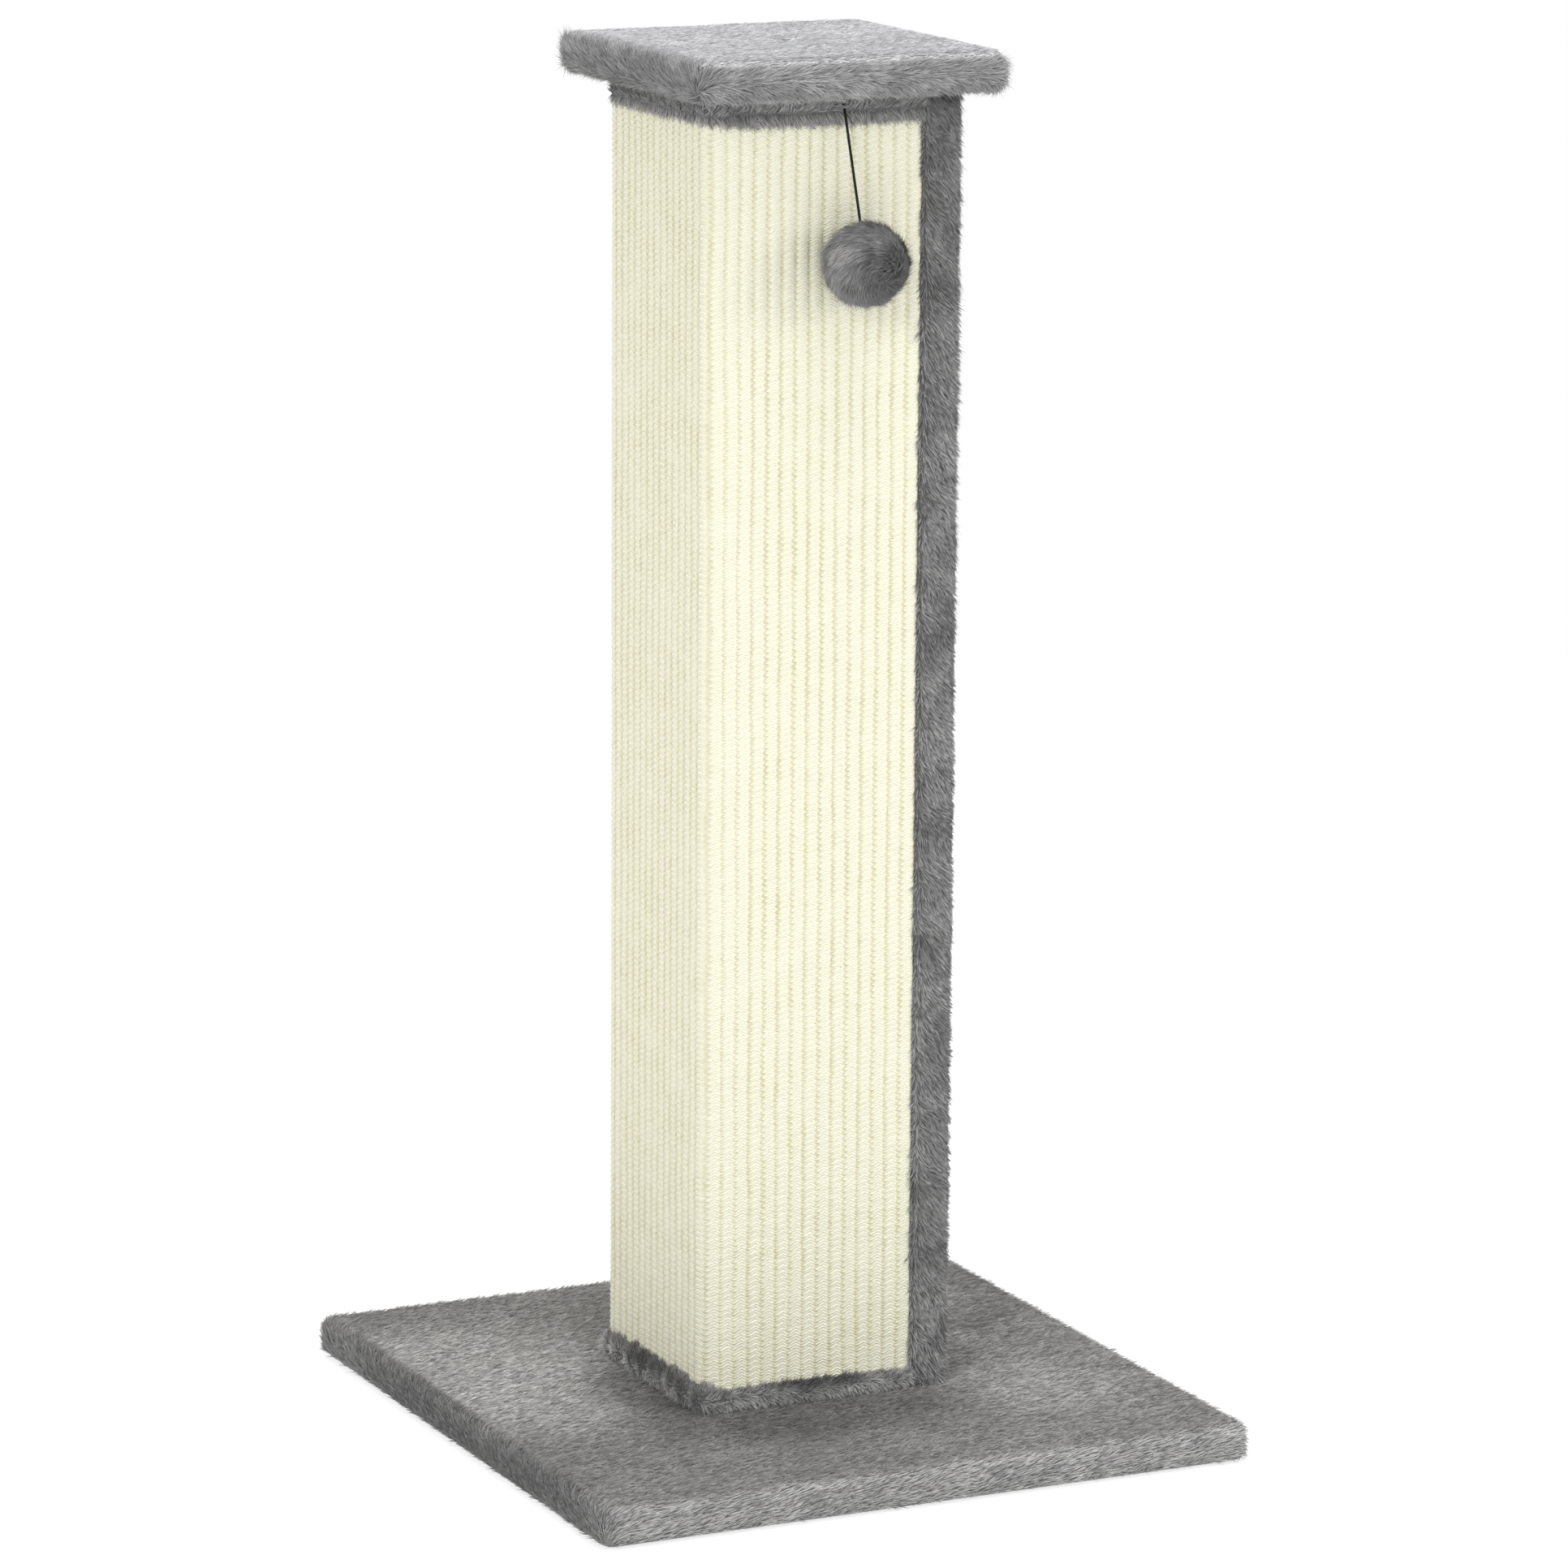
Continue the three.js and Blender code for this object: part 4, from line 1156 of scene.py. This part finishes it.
# %% Colour the sisal
PALE_YARN, LIGHT_YARN = (0.76, 0.74, 0.57, 1), (0.90, 0.895, 0.77, 1)
# The groove and core tans are the yarn's tan darkened as painted shade in the grooves.
GROOVE_SHADE_TAN, CORE_SHADE_TAN, HUSK = (0.63, 0.595, 0.385, 1), (0.56, 0.51, 0.33, 1), (0.26, 0.20, 0.12, 1)


def sisal_material():
    material, shader, place = new_material(
        "sisal", Roughness=0.85, Specular_IOR_Level=0.25, Sheen_Weight=0.15
    )
    grid = add(place.tree, "ShaderNodeUVMap", uv_map="weave")[0]
    across, up, _ = add(place.tree, "ShaderNodeSeparateXYZ", {0: grid})
    fibre, slub, patchy, drift = (
        noise_on(place, scale, detail)[0]
        for scale, detail in ((1400.0, 4.0), (190.0, 3.0), (34.0, 2.0), (300.0, 1.0))
    )

    # The groove between two ribs, wandering a little and broken by the stitches. Its tan is
    # partly the yarn's own and partly painted shade in the groove, darkest in its core.
    step = (up * (2 * math.pi)).math("SINE")
    wobble = step.math("MULTIPLY_ADD", 0.10, drift.ranged(0.3, 0.7, -0.04, 0.04))
    crest = abs(((across + wobble) * math.pi).math("SINE"))
    groove = crest.ranged(0.10, 0.66, 1.0, 0.0)
    core = crest.ranged(0.05, 0.32, 0.55, 0.0) * step.ranged(-0.3, 0.5, 0.1, 1.0)
    uneven = slub.ranged(0.35, 0.65, 0.65, 1.1) * patchy.ranged(0.35, 0.65, 0.7, 1.1)

    # The pads of a rib meet in shallow slanted notches, deepest beside the grooves; they are
    # bumped and painted darker as shade in the notches.
    fold = abs(across.math("FRACT") - 0.5)
    meeting = abs((fold.math("MULTIPLY_ADD", 0.9, up) * math.pi).math("SINE"))
    notch = meeting.ranged(0.05, 0.55, 1.0, 0.0) * fold.ranged(0.02, 0.44, 0.55, 1.0)

    # The notches are bumped deeper on the left side than on the front, and notches and grooves
    # are painted darker there, as painted shade on the side turned from the light. The ribs drawn
    # flat round the near corner get less of this painted groove shade.
    on_side = across.ranged(NEAR_RIB - 0.4, NEAR_RIB + 0.6, 1.0, 0.0)
    notch = notch * on_side.ranged(0.0, 1.0, 0.66, 1.15)
    groove = groove * on_side.ranged(0.0, 1.0, 0.88, 0.92)
    uneven = uneven * abs(across - FLAT_RIBS).ranged(1.0, 2.2, 0.72, 1.0)
    groove_shade = groove.math("MAXIMUM", notch) * uneven

    # The twisted yarn: fine slanted strokes that lean to either side of the rib's middle.
    yarn = ((up * 2.0 + fold * 2.6) * (2 * math.pi)).math("SINE")
    stroke = yarn.math("MULTIPLY_ADD", 0.26, fibre * 0.95)
    ribbed = blended(stroke.ranged(0.2, 0.75, 0.0, 1.0), PALE_YARN, LIGHT_YARN)
    ribbed = blended(groove_shade, ribbed, GROOVE_SHADE_TAN)
    ribbed = blended(core * uneven, ribbed, CORE_SHADE_TAN)

    # Rare dark specks of husk.
    specks = add(place.tree, "ShaderNodeTexVoronoi", {"Vector": place, "Scale": 120.0})
    rare = specks["Distance"].ranged(0.03, 0.055, 1.0, 0.0) * slub.math("GREATER_THAN", 0.62)
    blended(rare, ribbed, HUSK).to(shader, "Base Color")
    bumped(shader, yarn.math("MULTIPLY_ADD", 0.4, fibre) - notch, 0.7, 0.0006)
    return material


sisal.data.materials.append(sisal_material())

# %% [markdown]
# The plush of the right-hand side turns round both of its corners and ends in a ragged cut
# edge against the sisal. Its pile stands more upright there and hangs over the first rib.

# %% Plush down the right-hand side
post_outline = Outline(0.0)
SPINE_CLOTH, SPINE_LEVEL_STEP, SPINE_COLUMNS = 3.8, 6.0, 46
SPINE_SWELL, SPINE_RAGGED = 0.6, 1.3
SPINE_EDGE = {0: 0.62, 1: 0.88, 2: 1.0}
spine_from, spine_to = -post_outline.seam, post_outline.seam
spine_distances = [spine_from, spine_from + 0.5, spine_from + 1.4]
spine_distances += list(np.linspace(spine_from + 3.5, spine_to - 3.5, SPINE_COLUMNS))
spine_distances += [spine_to - 1.4, spine_to - 0.5, spine_to]
level_count = round((POST_HIGH - POST_LOW) / SPINE_LEVEL_STEP) + 1
spine_levels = np.linspace(POST_LOW, POST_HIGH, level_count)


def spine_lift(i, j):
    z = spine_levels[j]
    last = len(spine_distances) - 1
    near = min(i, last - i)
    share = SPINE_EDGE.get(near, 1.0)
    swell = SPINE_SWELL * waver(i / 5.0, z / 22.0, 3.0)
    ragged = SPINE_RAGGED * waver(2.0 if i < last / 2 else 9.0, z / 14.0, 7.0)
    return (ragged if near < 3 else 0.0), SPINE_CLOTH * share + swell * share


spine = sheet_on_post("spine_plush_cloth", post_outline, spine_distances, spine_levels, spine_lift)


def around_post(normal):
    return Vector((-normal.y, normal.x, 0.0))


def against_post(middle, margin):
    in_x = abs(middle.x - POST_X) < POST_HALF_X + margin
    return in_x and abs(middle.y) < POST_HALF_Y + margin


EDGE_OVERHANG = 2.2
SPINE_EDGE_X = POST_X + POST_HALF_X - SPINE_RETURN + EDGE_OVERHANG
STRIP_PATCH, EDGE_PATCH = 4, 9
DOWNWARD = Vector((0, 0, -0.85))


def spine_rule(middle, normal):
    if against_post(middle, 0.6) or abs(normal.z) > 0.7:
        return 0, (0, 0, -1), 1.0
    on_front = normal.y < -0.7
    third = 1 + int((middle.z - POST_LOW) / (POST_HIGH - POST_LOW) * 2.999)
    from_edge = middle.x - SPINE_EDGE_X + EDGE_OVERHANG
    turned = min(1.0, from_edge / 6.0) if on_front else 1.0
    nap = around_post(normal) * (0.75 * turned - 0.2) + DOWNWARD
    if middle.x < SPINE_EDGE_X:
        reach = 0.85 + 1.3 * waver(0.0, middle.y / 40.0, middle.z / 7.0)
        return EDGE_PATCH, (-0.5, 0.0, -0.85), max(0.4, reach)
    return (STRIP_PATCH if on_front else third), nap, 1.0


describe_cloth(spine, spine_rule)
spine.data.materials.append(plush_backing("spine_plush"))
spine_piles = [
    plant(f"spine_pile_{part}", spine, kind, "spine_plush", patch, seed=30 + patch)
    for patch, part, kind in (
        (1, 1, "spine"),
        (2, 2, "spine"),
        (3, 3, "spine"),
        (STRIP_PATCH, "strip", "strip"),
        (EDGE_PATCH, "edges", "strip_edge"),
    )
]

# %% [markdown]
# The two bands hide the sisal's cut ends. They are narrow strips of the same plush, rolled
# under at both long edges and glued, so they pucker: the lower one on the left side comes
# out in puffs that hang over the rib ends.

# %% Roll the two bands
band_from = post_outline.seam + SEAM_GAP
band_to = post_outline.length - post_outline.seam - SEAM_GAP
BAND_COLUMNS, BAND_LEVELS = 220, 9
BAND_THIN, TOP_BAND_THICK, BOTTOM_BAND_THICK = 1.2, 4.5, 4.9
TOP_ROLL, BOTTOM_ROLL = (0.30, 0.88), (0.12, 0.74)
TOP_BAND_TOP, BOTTOM_BAND_BASE, BAND_LAP = 769.2, 22.3, 0.9
PUFF_LENGTH, LEFT_BULK, LEFT_PUFF = 11.0, 2.6, 5.0
band_distances = np.linspace(band_from, band_to, BAND_COLUMNS)
band_places = [post_outline.at(d, 0.0) for d in band_distances]


def rolled_band(name, edge_at, thickness_at, roll):
    """A strip rolled at its edges. edge_at gives its two edges at a column, and roll how
    far round the roll has come at each of them, in half turns."""
    shares = np.linspace(0, 1, BAND_LEVELS)

    def lift(i, j):
        rounded = math.sin(math.pi * (roll[0] + (roll[1] - roll[0]) * shares[j]))
        return 0.0, BAND_THIN + (thickness_at(i) - BAND_THIN) * rounded

    def level(i, j):
        low, high = edge_at(i)
        return low + (high - low) * shares[j]

    return sheet_on_post(name, post_outline, list(band_distances), shares, lift, level)


def puff(i, lane):
    return waver(band_distances[i] / PUFF_LENGTH, lane, 3.0)


def top_band_edges(i):
    return meets_top(*band_places[i]) + BAND_LAP + 0.4 * puff(i, 8.0), TOP_BAND_TOP


def top_band_thickness(i):
    return TOP_BAND_THICK + 0.6 * puff(i, 2.0)


def bottom_band_edges(i):
    x, y = band_places[i]
    puffs = (0.4 + 2.6 * on_left(x)) * puff(i, 1.0)
    return BOTTOM_BAND_BASE, meets_bottom(x, y) - BAND_LAP + puffs


def bottom_band_thickness(i):
    left = on_left(band_places[i][0])
    return BOTTOM_BAND_THICK + (LEFT_BULK + LEFT_PUFF * puff(i, 1.0)) * left + 0.5 * puff(i, 2.0)


def band_rule(low, high, lean_up):
    def rule(middle, normal):
        share = (middle.z - low) / (high - low)
        nap = around_post(normal) * 0.5 + Vector((0, 0, lean_up(share)))
        return (0 if against_post(middle, 0.5) else 1), nap, 1.0

    return rule


top_band = rolled_band("top_band_cloth", top_band_edges, top_band_thickness, TOP_ROLL)
bottom_band = rolled_band(
    "bottom_band_cloth", bottom_band_edges, bottom_band_thickness, BOTTOM_ROLL
)
describe_cloth(top_band, band_rule(752.0, 769.0, lambda share: 0.7 - 2.2 * (share < 0.42)))
describe_cloth(bottom_band, band_rule(22.3, 36.0, lambda share: 2.4 * share - 1.0))
trim_backing = plush_backing("trim_plush")
band_piles = []
for kind, cloth, seed in (("top_band", top_band, 41), ("bottom_band", bottom_band, 42)):
    cloth.data.materials.append(trim_backing)
    band_piles.append(plant(f"{kind}_pile", cloth, kind, "trim_plush", 1, seed))

# %% [markdown]
# ## The ball
#
# A round of plush gathered over a wad of stuffing. Its pile is combed round and round by
# handling, so the nap is a whirl about one axis. The stuffing inside is lumpy and has a
# hollow for the knot.

# %% Make the ball
BALL_OUT, BALL_AROUND, BALL_UP = 21.2, 48, 32
WAD_OUT, HOLLOW_DEEP, HOLLOW_WIDE = 19.0, 10.0, 0.3
POLE = 0.02
WHIRL_AXIS = Vector((-0.10, -0.93, -0.30)).normalized()
ball_turn = np.array(Vector((0, 0, 1)).rotation_difference(Vector(-DOWN)).to_matrix())


def ball_shell(name, radius_at):
    points = []
    for angle in np.linspace(POLE, math.pi - POLE, BALL_UP):
        for around in full_turn(BALL_AROUND):
            flat = math.sin(angle)
            out = np.array([flat * math.cos(around), flat * math.sin(around), math.cos(angle)])
            points.append(BALL_CENTRE + ball_turn @ (out * radius_at(out)))
    piece = new_piece(name, points, ring_faces(BALL_AROUND, BALL_UP))
    face_out(piece)
    return piece


def ball_surface(out):
    lumps = 0.5 * waver(*(out * 2.2)) + 0.3 * waver(*(out * 6.0))
    return BALL_OUT * (1.0 - 0.03 * out[2] ** 2) + lumps


def wad_surface(out):
    from_knot = math.acos(max(-1, min(1, out[2])))
    hollow = HOLLOW_DEEP * math.exp(-((from_knot / HOLLOW_WIDE) ** 2))
    return WAD_OUT - hollow + 0.5 * waver(*(out * 5.0))


def ball_rule(middle, normal):
    return 1, WHIRL_AXIS.cross(normal) * 1.0 + Vector((0, 0, -0.25)), 1.0


ball_cloth = ball_shell("ball_plush_cloth", ball_surface)
ball_wad = ball_shell("ball_wadding", wad_surface)
describe_cloth(ball_cloth, ball_rule)
ball_cloth.data.materials.append(plush_backing("ball_plush"))
ball_fur = plant("ball_pile", ball_cloth, "ball", "ball_plush", 1, seed=51)

# %% Wadding
def wadding_material():
    material, shader, place = new_material("wadding", Roughness=1.0, Sheen_Weight=0.4)
    wisps = noise_on(place, 700.0, 6.0)[0]
    blended(wisps, (0.62, 0.60, 0.57, 1), (0.9, 0.89, 0.87, 1)).to(shader, "Base Color")
    bumped(shader, wisps, 0.8, 0.001)
    return material


ball_wad.data.materials.append(wadding_material())

# %% [markdown]
# ## Wood and steel
#
# The boards are raw particle board: pale tan, with flat chips pressed at all angles. The
# bolts, T-nuts and the staple are zinc plated steel. Their CAD meshes are right, so they
# stay and only get these finishes.

# %% Finish the boards and the hardware
def particle_board():
    material, shader, place = new_material("particle_board", Roughness=0.8, Specular_IOR_Level=0.3)
    drawn = drawn_out(place, (1.0, 0.45, 1.0))
    chips = add(place.tree, "ShaderNodeTexVoronoi", {"Vector": drawn, "Scale": 260.0})["Color"]
    tone = add(place.tree, "ShaderNodeSeparateXYZ", {0: chips})[0]
    share = noise_on(drawn, 420.0, 4.0)[0].math("MULTIPLY_ADD", 0.5, tone * 0.5)
    blended(share, (0.30, 0.19, 0.095, 1), (0.62, 0.46, 0.28, 1)).to(shader, "Base Color")
    bumped(shader, share, 0.4, 0.0004)
    return material


def zinc_steel():
    material, shader, place = new_material("zinc_steel", Metallic=1.0)
    bloom = noise_on(place, 300.0, 4.0)[0]
    blended(bloom, (0.50, 0.50, 0.50, 1), (0.72, 0.71, 0.67, 1)).to(shader, "Base Color")
    bloom.ranged(0.3, 0.7, 0.28, 0.48).to(shader, "Roughness")
    bumped(shader, bloom, 0.15, 0.0001)
    return material


FINISHES = (
    (particle_board(), ("board", "panel", "plate")),
    (zinc_steel(), ("bolt", "nut", "staple")),
)
for node_name, node_object in frame["nodes"].items():
    for finish, words in FINISHES:
        if any(word in node_name for word in words):
            for holder in node_object.material_slots:
                holder.material = finish
            break

# %% [markdown]
# ## Put the pieces on their bodies
#
# Everything stands still except the toy. Each cloth replaces its CAD solid, which is
# hidden, and rides on its body with its pile.

# %% Ride and replace
def board_cut(width, depth, height, hem):
    """The flat size of a cover: over the board, down its sides and under in a hem."""
    return tuple(side + 2 * (height + hem) for side in (width, depth))


BASE_CUT = board_cut(0.398, 0.417, 0.0216, 0.030)
TOP_CUT = board_cut(0.187, 0.187, 0.0226, 0.040)
SPINE_CUT = (0.7475, 2 * post_outline.seam * MM + 0.020)
BAND_LENGTH = (band_to - band_from) * MM
SISAL_CUT = ((weave_to - weave_from) * MM, (WEAVE_HIGH - WEAVE_LOW) * MM)
MITRED_SHARE = {"base_plush_cover": 0.95, "top_plush_cover": 0.9}
PANELS = ["post_panel_front", "post_panel_left", "post_panel_right"]
standing = (
    (base_cloth, base_piles, "base_plush", "base_plush_cover", BASE_CUT, ["base_board"]),
    (top_cloth, top_piles, "top_plush", "top_plush_cover", TOP_CUT, ["top_board"]),
    (spine, spine_piles, "trim_plush", "plush_spine", SPINE_CUT, PANELS[2:]),
    (top_band, band_piles[:1], "trim_plush", "top_band", (BAND_LENGTH, 0.021), PANELS[:1]),
    (bottom_band, band_piles[1:], "trim_plush", "bottom_band", (BAND_LENGTH, 0.020), PANELS[:1]),
    (sisal, [], "sisal", "sisal_wrap", SISAL_CUT, PANELS[:2]),
)
for cloth, pile, slot_name, node_name, size, under in standing:
    for piece in (cloth, *pile):
        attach(piece, "stand")
    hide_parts(node_name)
    more = {"with_pieces": pile} if pile else {}
    if node_name in MITRED_SHARE:
        more["area"] = size[0] * size[1] * MITRED_SHARE[node_name]
    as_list(under)
for piece in (ball_cloth, ball_fur, ball_wad):
    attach(piece, "ball")
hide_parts("ball_plush_cover")
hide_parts("ball_core")
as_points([tuple(p * MM) for p in free_path[::4]] + [tuple(free_path[-1] * MM)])

# %% [markdown]
# ## Studio
#
# A plain pale floor, a white surround, and soft light: a wide lamp above, a large one from
# the left front and a weaker one from the right, so the ribs and the pile cast short soft
# shadows and the floor stays white.

# %% Lay the floor
FLOOR_RADIUS, FLOOR_SIDES = 2400.0, 96
floor_turn = full_turn(FLOOR_SIDES)
floor_ring = [(math.cos(a) * FLOOR_RADIUS, math.sin(a) * FLOOR_RADIUS, 0) for a in floor_turn]
floor = new_piece("studio_floor", floor_ring, [tuple(range(FLOOR_SIDES))])
floor_finish, shader, place = new_material(
    "studio_floor", Roughness=0.9, Specular_IOR_Level=0.1,
    Emission_Strength=0.7, Emission_Color=(1.0, 1.0, 1.0, 1),
)
grain = noise_on(place, 3.0, 2.0)[0]
blended(grain, (0.40, 0.40, 0.40, 1), (0.42, 0.42, 0.42, 1)).to(shader, "Base Color")
floor.data.materials.append(floor_finish)

# %% Light it
SURROUND_SEEN, SURROUND_LIGHT = 1.0, 0.75
LAMP_AIM = (0, 0, 0.4)
world = bpy.data.worlds.new("studio")
bpy.context.scene.world = world
world.use_nodes = True
backdrop = world.node_tree.nodes["Background"]
backdrop.inputs["Color"].default_value = (1.0, 1.0, 1.0, 1)
seen = add(world.node_tree, "ShaderNodeLightPath")["Is Camera Ray"]
seen.ranged(0.0, 1.0, SURROUND_LIGHT, SURROUND_SEEN).to(backdrop, "Strength")
for name, lamp_place, size, power in (
    ("lamp_above", (0.2, -0.2, 2.9), 1.8, 50),
    ("lamp_left_front", (-2.4, -2.2, 1.9), 1.4, 38),
    ("lamp_right_front", (2.4, -1.9, 1.4), 1.6, 27),
    ("lamp_behind", (0.8, 2.8, 1.9), 1.6, 30),
):
    data = bpy.data.lights.new(name, "AREA")
    data.shape, data.size, data.energy = "DISK", size, power
    lamp = bpy.data.objects.new(name, data)
    facing = (Vector(LAMP_AIM) - Vector(lamp_place)).to_track_quat("-Z", "Y")
    lamp.matrix_world = Matrix.Translation(lamp_place) @ facing.to_matrix().to_4x4()
    bpy.context.scene.collection.objects.link(lamp)
bpy.context.scene.view_settings.view_transform = "Standard"
print("pile triangles in all:", sum(pile_counts))
